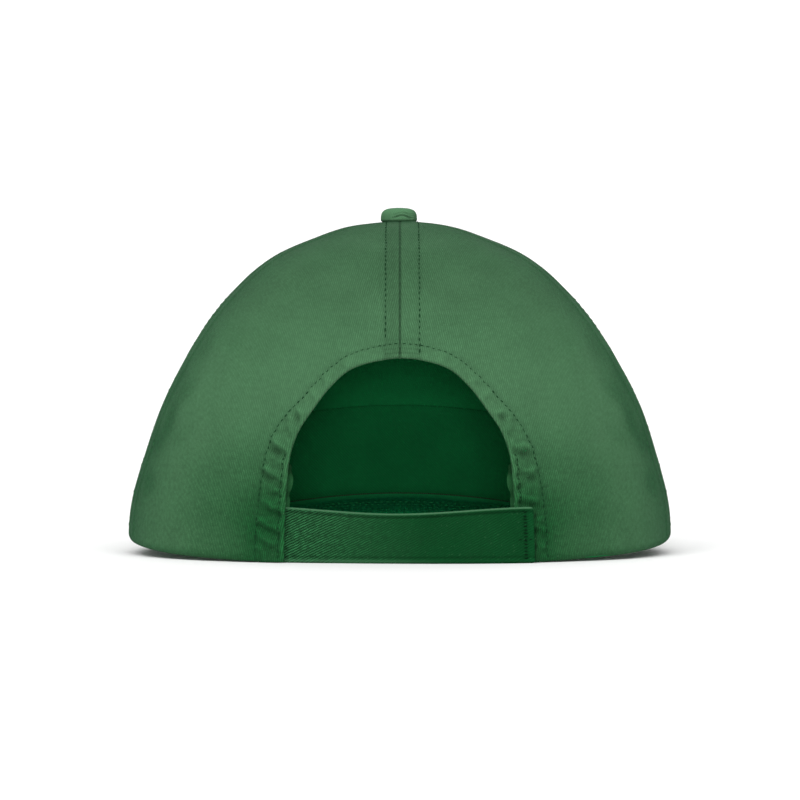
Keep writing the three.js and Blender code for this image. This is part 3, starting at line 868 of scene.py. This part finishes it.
BAND_END = float(azimuth_across(np.array(BAND_END_ACROSS), climb_at(np.array(BAND_WIDTH / 2))))
BAND_LENGTH = 492
BAND_SHOWN = BAND_WIDTH - BAND_LIFT


def band_depth(azimuth):
    """How deep inside the crown the sweatband lies: deeper at its ends, over the strap and the tab."""
    on_panel = PANEL_CLOTH + LAYER_GAP
    over_strap = HEM_CLOTH + LAYER_GAP + max(STRAP_CLOTH, TAB_CLOTH) + LAYER_GAP
    to_end = np.radians(BAND_END - np.abs(azimuth)) * CROWN_BACK_REACH
    return lerp(over_strap, on_panel, smoothstep(to_end, BAND_STEP_LENGTH * 0.7, BAND_STEP_LENGTH))


def band_place(across, share, depth):
    """Beside the back opening, each end of the sweatband bulges in scallops between its rows of stitches."""
    turn = lerp(-BAND_END, BAND_END, across)
    run = across * BAND_LENGTH
    scallop = 0.5 * bump(share - 0.81, 0.07) - 0.5 * bump(share - 0.69, 0.04)
    scallop = scallop - 0.7 * smoothstep(share, 0.87, 0.94)
    near_end = bump((1 - np.abs(2 * across - 1)) * BAND_LENGTH / 2, 5)
    azimuth = turn + np.sign(turn) * np.degrees(scallop * near_end / CROWN_BACK_REACH)
    climb = climb_at(rim_height(azimuth) + lerp(BAND_LIFT - BAND_HANG, BAND_WIDTH, share))
    out = crown_normal(azimuth, climb)
    out[..., 2] *= smoothstep(climb - climb_at(rim_height(azimuth)), 0, 0.08)
    inside = np.maximum(-depth / (BAND_CLOTH / 2), 0)
    up = share * BAND_SHOWN
    rows = sum((0.06 + 0.08 * stitched(run)) * bump(up - row, 0.4) for row in BAND_SEWN_ROWS)
    gathers = 0.12 * waves(run, up * 0.3, length=14, seed=41) + 0.1 * bump(up - 33.5, 1.2)
    gathers = gathers + 0.5 * near_end * np.sin(share * 2 * math.pi * 3 + 1.2)
    pressed = 0.8 * fading(np.minimum(up, BAND_SHOWN - up), 0.2, 2.2) * (1 - near_end)
    away = -(band_depth(azimuth) + BAND_CLOTH / 2) + depth + inside * (rows - gathers) + pressed
    return crown_surface(azimuth, climb) + unit(out) * away[..., None]


def band_painted_tone(run, height):
    """The sweatband is paler at its ends, which the light reaches, and painted shade darkens it above and
    between its bulges.
    """
    near_end = fading(np.minimum(run, BAND_LENGTH - run), 6, 26)
    share = height / BAND_SHOWN
    shade = 1 - 0.55 * near_end * smoothstep(share, 0.86, 0.92) - 0.4 * near_end * bump(share - 0.69, 0.05)
    return np.stack([shade, near_end, 0 * shade], axis=-1)


# The peak

def peak_row_width(across):
    """How wide the peak is from its root to its edge."""
    return np.hypot(*(peak_spot(across, 1.0) - peak_spot(across, 0.0)))


def peak_spot(across, share):
    """Where a point of the peak lies in plan, a share of the way from its root to its edge."""
    turn = 1 - 2 * np.asarray(across, float)
    azimuth = PEAK_END * turn
    root = level_beside(azimuth, rim_height(azimuth), np.full_like(azimuth, SEAM_GAP))
    edge_x, edge_y = peak_edge(turn)
    return np.stack([lerp(root[..., 0], edge_x, share), lerp(root[..., 1], edge_y, share)])


def peak_relief(to_edge, run, share):
    """Grooves of its stitch rows, a crease along its root, its edge's piping and a soft unevenness."""
    rows = PEAK_FIRST_ROW + PEAK_ROW_STEP * np.arange(PEAK_STITCH_ROWS)
    grooves = sum((0.16 + 0.16 * stitched(run)) * bump(to_edge - row, 0.45) for row in rows)
    piping = 0.12 * bump(to_edge - 3, 2)
    return 0.14 * waves(run, to_edge, length=40, seed=51) - grooves - 0.5 * bump(share, 0.02) + piping


def peak_place(across, share, depth, relief=True):
    x, y = peak_spot(across, share)
    if relief:
        to_edge = (1 - share) * peak_row_width(across)
        outside = np.clip(depth / (PEAK_THICKNESS / 2), -1, 1)
        depth = depth + peak_relief(to_edge, across * PEAK_RUN, share) * outside
    limp = PEAK_LIMP * share ** 2 * np.maximum(1 - (x / PEAK_LIMP_REACH) ** 2, 0)
    return points(x, y, np.maximum(peak_height(x, y) + depth - limp, 0))


# The button

BUTTON_SHIFT = -0.4  # how far its cap sits to the left of its shank
BUTTON_NECK = 0.62  # share of the profile, from the top, at which the shank starts
BUTTON_PROFILE = [
    dict(radius=0, up=5.3),
    dict(radius=1.9, up=5.24),
    dict(radius=4.3, up=4.9),
    dict(radius=5.9, up=4.1),
    dict(radius=6.6, up=2.9),
    dict(radius=6.8, up=1.6),
    dict(radius=6.7, up=0.45),
    dict(radius=5.7, up=-0.15),
    dict(radius=3.6, up=0.1),
    dict(radius=2.2, up=0.15),
    dict(radius=1.95, up=-0.6),
    dict(radius=2.2, up=-1.4),
    dict(radius=4.3, up=-1.65),
    dict(radius=4.95, up=-2),
    dict(radius=4.3, up=-2.4),
    dict(radius=2, up=-2.5),
    dict(radius=0, up=-2.5),
]
BUTTON_CURVE = column_curves(BUTTON_PROFILE)
BUTTON_RUN = np.cumsum(np.hypot(np.gradient(BUTTON_CURVE["radius"]), np.gradient(BUTTON_CURVE["up"])))


def button_place(around, down):
    """The cloth is drawn over the button's shell in small pleats, with two creases across its back."""
    turn = 2 * math.pi * around
    radius = np.maximum(np.interp(down, SHARES, BUTTON_CURVE["radius"]), 0)
    up = np.interp(down, SHARES, BUTTON_CURVE["up"])
    cap = fading(down, 0.4, 0.48)
    x, y = radius * np.sin(turn), radius * np.cos(turn)
    pleats = (0.12 * np.sin(9 * turn + 0.7) + 0.09 * np.sin(14 * turn + 2.1)) * smoothstep(radius, 3.5, 6.4)
    fold = 1.1 + 1.1 * bump(x - 1.2, 2.6)
    crease = -0.6 * bump(up - fold, 0.32) - 0.35 * bump(up - fold - 1.1, 0.3)
    crease = np.where(y < 0, crease * smoothstep(x, -3.5, -1) * fading(x, 3.5, 5.5), 0)
    radius = radius + cap * pleats + cap * crease * smoothstep(radius, 1, 4)
    shift = BUTTON_SHIFT * (down < BUTTON_NECK)
    spots = points(radius * np.sin(turn) + shift, radius * np.cos(turn), CROWN_HEIGHT + up)
    # Painted light on the button: lighter all over and towards its top, painted shade in its crease, on its
    # right side and underneath, and a painted sheen that whitens it a little.
    shade = 1.2 + 0.15 * smoothstep(up, 2, 5) + 0.9 * cap * crease
    shade = shade - 0.3 * cap * smoothstep(x, 3, 6.5) - 0.4 * fading(up, 0.1, 0.9)
    painted_tones = np.stack([shade, np.full_like(shade, 1.0), np.full_like(shade, 0.2)], axis=-1)
    run = np.interp(down, SHARES, BUTTON_RUN)
    return spots, np.stack([run * np.sin(turn), run * np.cos(turn)], axis=-1), painted_tones


# Stitches

def stitch_row(bm, line, up, length=STITCH_LENGTH, pitch=STITCH_PITCH, thread=THREAD, crosswise=False):
    """A row of stitches along a line of points in millimetres, each one a small grain of thread."""
    run = run_along(line)
    count = max(int(run[-1] / pitch), 1)
    rng = np.random.default_rng(count)
    for number in range(count):
        middle = (number + 0.5) * run[-1] / count
        start, centre, end = [np.array([np.interp(middle + offset, run, line[:, axis]) for axis in range(3)])
                              for offset in (-length / 2, 0, length / 2)]
        direction = Vector(end - start).normalized()
        raised = Vector([np.interp(middle, run, up[:, axis]) for axis in range(3)])
        side = raised.cross(direction).normalized()
        if crosswise:
            direction, side = side, -direction
        direction = (direction + side * rng.uniform(-STITCH_TILT, STITCH_TILT)).normalized()
        side = raised.cross(direction).normalized()
        centre = centre + np.array(side) * rng.uniform(-STITCH_STRAY, STITCH_STRAY)
        turned = Matrix((direction, side, direction.cross(side))).transposed().to_4x4()
        thick = thread / 2 * rng.uniform(0.72, 1.15)
        size = Matrix.Diagonal((length / 2 * rng.uniform(0.75, 1.15), thick, thick, 1))
        move = Matrix.Translation(Vector(centre + AXIS) * MM)
        bmesh.ops.create_icosphere(bm, subdivisions=1, radius=MM, matrix=move @ turned @ size)


def stitch_piece(name, slot, rows, thread):
    """Rows of stitches, each given as its line of points, the outward directions there and its settings."""
    bm = bmesh.new()
    for line, up, settings in rows:
        stitch_row(bm, line, up, **settings)
    return finish_piece(name, new_mesh(name, bm), slot, [], thread)


def crown_row(azimuth, climb, lift=0.1, **settings):
    return cloth_point(azimuth, climb, lift), crown_normal(azimuth, climb), settings


def seam_row(seam, offset, low, high, lift=0.1):
    """A row beside a seam, a distance to one side of it, between two shares of the way up."""
    share = np.linspace(low, high, 260)
    on_seam = plain_point(np.full_like(share, seam), share)
    azimuth = seam + np.degrees(offset / np.linalg.norm(on_seam[:, :2], axis=1))
    return crown_row(azimuth, climb_above(azimuth, share), lift)


def hem_row(mirror, distance_at, low, high, **settings):
    """A row that follows the arch's edge at a distance inwards of it."""
    along = np.linspace(low, high, 260)
    reach = distance_at(np.interp(along, arch_shares, arch_run)) / patch_scale(along)
    azimuth, share = patch_place(along, reach)
    return crown_row(mirror * azimuth, climb_above(azimuth, share), **settings)


def strap_row(across, share, **settings):
    """A row on the strap's outer face."""
    line, inner = [strap_place(across, share, np.full_like(across, depth), relief=False)
                   for depth in (STRAP_CLOTH / 2 + 0.05, -STRAP_CLOTH / 2)]
    return line, line - inner, settings


def peak_row(distance, face):
    """A row on the peak's upper face, 1, or its lower one, -1, at a distance inwards of its edge."""
    across = np.linspace(0, 1, 400)
    share = 1 - distance / peak_row_width(across)
    across, share = across[share > 0.06], share[share > 0.06]
    line = peak_place(across, share, np.full_like(across, face * (PEAK_THICKNESS / 2 + 0.02)), relief=False)
    return line, points(np.zeros_like(share), 0, face), {}


# Finishes

def math_node(tree, operation, *values):
    made = tree.nodes.new("ShaderNodeMath")
    made.operation = operation
    for socket, value in zip(made.inputs, values):
        if isinstance(value, (int, float)):
            socket.default_value = value
        else:
            tree.links.new(value, socket)
    return made.outputs[0]


def map_range(tree, value, low, high, to_low, to_high):
    made = tree.nodes.new("ShaderNodeMapRange")
    for name, number in zip(("From Min", "From Max", "To Min", "To Max"), (low, high, to_low, to_high)):
        made.inputs[name].default_value = number
    tree.links.new(value, made.inputs["Value"])
    return made.outputs[0]


def mix_colour(tree, factor, first, second, blend="MIX"):
    made = tree.nodes.new("ShaderNodeMix")
    made.data_type = "RGBA"
    made.blend_type = blend
    for socket, value in ((0, factor), (6, first), (7, second)):
        if isinstance(value, (tuple, int, float)):
            made.inputs[socket].default_value = value
        else:
            tree.links.new(value, made.inputs[socket])
    return made.outputs[2]


def noise(tree, vector, scale, detail=3.0):
    made = tree.nodes.new("ShaderNodeTexNoise")
    made.inputs["Scale"].default_value = scale
    made.inputs["Detail"].default_value = detail
    tree.links.new(vector, made.inputs["Vector"])
    return made.outputs["Fac"]


def bump_node(tree, height, distance, strength=0.8):
    made = tree.nodes.new("ShaderNodeBump")
    made.inputs["Strength"].default_value = strength
    made.inputs["Distance"].default_value = distance * MM
    tree.links.new(height, made.inputs["Height"])
    return made.outputs[0]


def blank_finish(name):
    """A new material, with its node tree and its shader."""
    material = bpy.data.materials.new(name)
    material.use_nodes = True
    return material, material.node_tree, material.node_tree.nodes["Principled BSDF"]


def split_vector(tree, vector):
    made = tree.nodes.new("ShaderNodeSeparateXYZ")
    tree.links.new(vector, made.inputs[0])
    return made.outputs


def along_direction(tree, parts, cosine, sine):
    """How far a point lies along a direction of the cloth."""
    return math_node(tree, "ADD", math_node(tree, "MULTIPLY", parts[0], cosine),
                     math_node(tree, "MULTIPLY", parts[1], sine))


def twill(name, low, high, angle, relief=0.12, sheen=0.04, contrast=0.4, shine=0.1, tint=(0.35, 1, 0.55, 1),
          clear=(1.3, 0.65)):
    """Brushed twill: diagonal ribs across the cloth's own coordinates, yarns, slubs and lint. Its painted
    tone says how light it is painted, how far it has gone from its deep, shaded colour to its pale, lit one,
    and where a
    painted highlight turns it white: all of it painted light and shade. clear says how clearly the ribs show
    where it is deep and where it is pale."""
    material, tree, shader = blank_finish(name)
    cloth = tree.nodes.new("ShaderNodeUVMap")
    cloth.uv_map = "Cloth"
    in_mm = tree.nodes.new("ShaderNodeMapping")
    in_mm.inputs["Scale"].default_value = (1 / MM, 1 / MM, 1 / MM)
    tree.links.new(cloth.outputs["UV"], in_mm.inputs["Vector"])
    spot = in_mm.outputs["Vector"]
    parts = split_vector(tree, spot)
    sine, cosine = math.sin(math.radians(angle)), math.cos(math.radians(angle))
    across = along_direction(tree, parts, -sine, cosine)
    along = along_direction(tree, parts, cosine, sine)
    wander = math_node(tree, "MULTIPLY", noise(tree, spot, 0.35), 4.5)
    phase = math_node(tree, "ADD", math_node(tree, "MULTIPLY", across, 2 * math.pi / RIB_PITCH), wander)
    ribs = math_node(tree, "MULTIPLY_ADD", math_node(tree, "SINE", phase), 0.5, 0.5)
    strength = map_range(tree, noise(tree, spot, 0.6), 0.3, 0.7, 0.25, 1.0)
    ribs = math_node(tree, "MULTIPLY", ribs, strength)
    along_yarn = math_node(tree, "MULTIPLY", along, 2 * math.pi / YARN_PITCH)
    yarns = math_node(tree, "SINE", math_node(tree, "ADD", along_yarn, phase))
    yarns = math_node(tree, "MULTIPLY", yarns, 0.14)
    grain = noise(tree, spot, 2.6, 4.0)
    fuzz = math_node(tree, "MULTIPLY", grain, 0.9)
    height = math_node(tree, "ADD", math_node(tree, "ADD", ribs, yarns), fuzz)
    painted_tone = tree.nodes.new("ShaderNodeAttribute")
    painted_tone.attribute_name = "Painted_tone"
    # Painted light and shade: how light the cloth is painted, how far towards its lit pale colour, and its
    # painted highlight.
    light, painted_paleness, painted_highlight = split_vector(tree, painted_tone.outputs["Vector"])
    uneven = math_node(tree, "SUBTRACT", noise(tree, spot, 0.05), 0.5)
    pale = math_node(tree, "MULTIPLY_ADD", uneven, 0.35, painted_paleness)
    plain = mix_colour(tree, map_range(tree, pale, 0.0, 1.0, 0.0, 1.0), low, high)
    patches = map_range(tree, noise(tree, spot, 0.07, 4.0), 0.3, 0.7, 0.93, 1.07)
    depth = math_node(tree, "MULTIPLY_ADD", pale, clear[1] - clear[0], clear[0])
    weave = math_node(tree, "MULTIPLY", map_range(tree, height, 0.35, 1.55, -contrast, contrast), depth)
    shade = math_node(tree, "ADD", weave, 1)
    tone = math_node(tree, "MULTIPLY", math_node(tree, "MULTIPLY", shade, patches), light)
    toned = tree.nodes.new("ShaderNodeCombineColor")
    for socket in toned.inputs:
        tree.links.new(tone, socket)
    woven = mix_colour(tree, 1.0, plain, toned.outputs[0], "MULTIPLY")
    lint = math_node(tree, "GREATER_THAN", noise(tree, spot, 1.1, 5.0), 0.66)
    lint = math_node(tree, "MULTIPLY", lint, 0.2)
    # Lint flecks, which are the cloth's own, and painted highlights both whiten the cloth towards this
    # colour.
    lint_and_highlight = tuple(value * 1.3 + 0.03 for value in high[:3]) + (1,)
    finished = mix_colour(tree, math_node(tree, "ADD", lint, painted_highlight), woven, lint_and_highlight)
    tree.links.new(finished, shader.inputs["Base Color"])
    tree.links.new(map_range(tree, grain, 0.2, 0.8, 0.82, 0.96), shader.inputs["Roughness"])
    tree.links.new(bump_node(tree, height, relief), shader.inputs["Normal"])
    shader.inputs["Specular IOR Level"].default_value = shine
    shader.inputs["Sheen Weight"].default_value = sheen
    shader.inputs["Sheen Roughness"].default_value = 0.5
    shader.inputs["Sheen Tint"].default_value = tint
    return material


def thread_finish(name, colour):
    """Twisted sewing thread."""
    material, tree, shader = blank_finish(name)
    fibres = noise(tree, tree.nodes.new("ShaderNodeTexCoord").outputs["Object"], 4000, 2.0)
    darker = tuple(value * 0.55 for value in colour[:3]) + (1,)
    tree.links.new(mix_colour(tree, fibres, darker, colour), shader.inputs["Base Color"])
    tree.links.new(bump_node(tree, fibres, 0.08), shader.inputs["Normal"])
    shader.inputs["Roughness"].default_value = 0.85
    shader.inputs["Specular IOR Level"].default_value = 0.05
    return material


RIB_PITCH = 0.78
YARN_PITCH = 0.7 * RIB_PITCH
# The crown's cloth goes from a deep green, painted for where shade falls, to a pale green, painted for where
# light and sheen fall. The crown's inside, the peak's underside and the sweatband are a brighter green than
# the outside, painted light for the shade they lie in; the sweatband's ends, which the light reaches, take a
# darker, greyer green. The strap goes from a deep green at its free end to a paler one at its root, painted
# light and shade.
DEEP_GREEN = (0.0055, 0.06, 0.0155, 1)
PALE_GREEN = (0.047, 0.127, 0.058, 1)
INSIDE_GREEN = (0.0087, 0.184, 0.051, 1)
UNDER_GREEN = (0.011, 0.215, 0.064, 1)
STRAP_GREEN = (0.0021, 0.04, 0.01, 1)
STRAP_PALE = (0.0155, 0.084, 0.0295, 1)
BAND_GREEN = (0.0073, 0.151, 0.042, 1)
BAND_END_GREEN = (0.015, 0.072, 0.025, 1)

# Cloth that lies in the shade has no sheen or shine, and its ribs hardly show.
SHADED = dict(sheen=0, contrast=0.12, shine=0)

crown_twill = twill("crown_twill", DEEP_GREEN, PALE_GREEN, 78, contrast=0.46)
crown_inside = twill("crown_inside", INSIDE_GREEN, INSIDE_GREEN, 62, **SHADED)
peak_twill = twill("peak_twill", DEEP_GREEN, PALE_GREEN, 62)
peak_under = twill("peak_under_twill", UNDER_GREEN, UNDER_GREEN, 62, sheen=0.2, contrast=0.12, shine=0,
                   tint=(0.02, 1, 0.4, 1))
button_twill = twill("button_twill", DEEP_GREEN, PALE_GREEN, 50)
band_twill = twill("sweatband_twill", BAND_GREEN, BAND_END_GREEN, 45, **SHADED)
strap_twill = twill("strap_twill", STRAP_GREEN, STRAP_PALE, 25, relief=0.2, sheen=0, contrast=0.75,
                    shine=0.05, clear=(0.32, 1.25))
# All four are one thread. The dark one is darkened as painted shade where stitches sink into the cloth, the
# strap's is darker still, the pale one takes the cloth's own colour, and the one under the peak is a bright
# green, painted light for the shade there.
dark_thread = thread_finish("dark_thread", (0.006, 0.042, 0.014, 1))
pale_thread = thread_finish("pale_thread", (0.033, 0.112, 0.046, 1))
strap_thread = thread_finish("strap_thread", (0.001, 0.011, 0.0035, 1))
under_thread = thread_finish("under_thread", (0.025, 0.38, 0.12, 1))


# Crown panels

side_place = panel_place(FRONT_SEAM, BACK_SEAM)
panel_piece("front_panel", 160, 120, panel_place(-FRONT_SEAM, FRONT_SEAM))
panel_piece("side_panel_right", 110, 130, side_place)
panel_piece("side_panel_left", 110, 130, mirrored(side_place))
panel_piece("back_panel_right", BACK_COLUMNS, BACK_ROWS, back_place)
panel_piece("back_panel_left", BACK_COLUMNS, BACK_ROWS, mirrored(back_place))

# How long the hem's stitches are and how far apart: large low on the arch and at the edge, small at the top.
LARGE_STITCH = dict(length=1.6, pitch=2.3, thread=0.45)
SMALL_STITCH = dict(length=1.4, pitch=2.2, thread=0.32)
EDGE_STITCH = dict(length=1.5, pitch=2.3, thread=0.48)

arch_top_share = float(from_chart(arch_edge(np.array(1.0)))[1])
sewn_rows = []
for side in (-1, 1):
    sewn_rows.append(hem_row(side, lambda spot: outer_row(spot, side < 0), 0.01, 0.62, **LARGE_STITCH))
    sewn_rows.append(hem_row(side, lambda spot: outer_row(spot, side < 0), 0.625, 0.995, **SMALL_STITCH))
    sewn_rows.append(hem_row(side, lambda spot: np.full_like(spot, HEM_INNER_ROW), 0.01, 0.4, **EDGE_STITCH))
sewn_rows.append(seam_row(BACK, BACK_ROW_LEFT, arch_top_share + 0.042, 0.97))
sewn_rows.append(seam_row(BACK, -BACK_ROW_RIGHT, arch_top_share + 0.006, 0.965))
side_rows = []
for seam, lift in ((FRONT_SEAM, 0.02), (BACK_SEAM, -0.1)):
    for side in (-1, 1):
        for offset in (-SEAM_ROW, SEAM_ROW):
            side_rows.append(seam_row(side * seam, offset, 0.012, 0.88, lift))
stitch_piece("panel_stitches", "crown_twill", side_rows, pale_thread)
stitch_piece("crown_stitches", "crown_twill", sewn_rows, dark_thread)

# Peak, sweatband, strap, tab and button

peak = strip_piece("peak", 200, 300, peak_place, PEAK_RUN, peak_row_width, PEAK_THICKNESS, (0.1, 0.1),
                   "peak_twill", peak_twill)
# The peak's downward faces take a brighter green, painted light for the shade under the peak.
peak.data.materials.append(peak_under)
for face in peak.data.polygons:
    face.material_index = int(face.normal.z < 0)
peak_distances = [PEAK_FIRST_ROW + PEAK_ROW_STEP * number for number in range(PEAK_STITCH_ROWS)]
stitch_piece("peak_stitches", "peak_twill", [peak_row(row, 1) for row in peak_distances], pale_thread)
stitch_piece("peak_under_stitches", "peak_twill", [peak_row(row, -1) for row in peak_distances], under_thread)
strip_piece("sweatband", 360, 110, band_place, BAND_LENGTH, BAND_SHOWN, BAND_CLOTH, (0.8, 0.8),
            "sweatband_twill", band_twill, band_painted_tone)
strip_piece("strap", 240, 150, strap_place, STRAP_LENGTH, STRAP_MIDDLE_WIDTH, STRAP_CLOTH, (1.2, 0.5),
            "strap_twill", strap_twill, strap_painted_tone)
strip_piece("strap_tab", 120, 100, tab_place, TAB_LENGTH, TAB_WIDTH, TAB_CLOTH, (0.5, 2.5),
            "strap_twill", strap_twill)

# The strap's free end is held by a close row of stitches laid crosswise, which a short row runs across.
end_share = np.linspace(0.06, 0.94, 60)
end_across = np.full_like(end_share, STRAP_END_ROW / STRAP_LENGTH)
bar_across = np.linspace(0.8, 6.2, 20) / STRAP_LENGTH
stitch_piece("strap_stitches", "strap_twill", [
    strap_row(end_across, end_share, length=1.6, pitch=1.2, thread=0.4, crosswise=True),
    strap_row(bar_across, np.full_like(bar_across, 0.42), length=1.2, pitch=1.5, thread=0.36),
], strap_thread)
button_mesh = placed_grid("button_cloth", 96, 90, lambda across, up: button_place(across, 1 - up))
close_mesh(button_mesh)
finish_piece("button_cloth", button_mesh, "button_twill", ["button"], button_twill)


# Stage, lights and camera, in metres

FLOOR_HALF_WIDTH = 5
FLOOR_FLAT = 0.8
FLOOR_RISE = 0.12


def lamp(name, kind, place, aim, **settings):
    light = bpy.data.lights.new(name, kind)
    for setting, value in settings.items():
        setattr(light, setting, value)
    holder = new_object(name, light)
    holder.location = place
    holder.rotation_euler = (Vector(aim) - Vector(place)).to_track_quat("-Z", "Y").to_euler()


def build_stage():
    """A pale floor that rises slowly behind the cap, so that no horizon shows."""
    bm = bmesh.new()
    bmesh.ops.create_grid(bm, x_segments=1, y_segments=60, size=FLOOR_HALF_WIDTH)
    for corner in bm.verts:
        corner.co.z = FLOOR_RISE * max(corner.co.y - FLOOR_FLAT, 0) ** 2
    pale, _, shader = blank_finish("pale_floor")
    shader.inputs["Base Color"].default_value = (0.9, 0.9, 0.9, 1)
    shader.inputs["Roughness"].default_value = 0.95
    floor = smooth_object("floor", new_mesh("floor", bm), pale)
    world = bpy.data.worlds.new("studio")
    bpy.context.scene.world = world
    world.use_nodes = True
    world.node_tree.nodes["Background"].inputs["Color"].default_value = (1, 1, 1, 1)
    world.node_tree.nodes["Background"].inputs["Strength"].default_value = 0.38


build_stage()
lamp("soft_left", "SUN", (-0.45, -0.85, 0.95), (0, 0, 0), energy=1.8, angle=math.radians(40))
lamp("soft_right", "SUN", (0.45, -0.85, 0.95), (0, 0, 0), energy=1.28, angle=math.radians(40))
lamp("soft_front", "SUN", (0, 0.8, 0.8), (0, 0, 0), energy=0.7, angle=math.radians(50))
lamp("back_fill", "AREA", (0, -1.9, 0.11), (0, -0.04, 0.05), energy=11.5, size=0.3)

CAMERA_DISTANCE = 1.5
CAMERA_SLOPE = math.radians(0.75)
AIM_HEIGHT = 0.0571
IMAGE_SCALE = 2650  # pixels for each metre at the crown's axis
IMAGE_WIDTH = 800
SENSOR_WIDTH = 36
camera_data = bpy.data.cameras.new("camera")
camera = new_object("camera", camera_data)
aim = Vector((AXIS[0] * MM, AXIS[1] * MM, AIM_HEIGHT))
camera.location = aim + CAMERA_DISTANCE * Vector((0, -math.cos(CAMERA_SLOPE), math.sin(CAMERA_SLOPE)))
camera.rotation_euler = (aim - camera.location).to_track_quat("-Z", "Y").to_euler()
camera_data.sensor_width = SENSOR_WIDTH
camera_data.lens = SENSOR_WIDTH * IMAGE_SCALE * CAMERA_DISTANCE / IMAGE_WIDTH
bpy.context.scene.camera = camera
bpy.context.scene.view_settings.view_transform = "Standard"
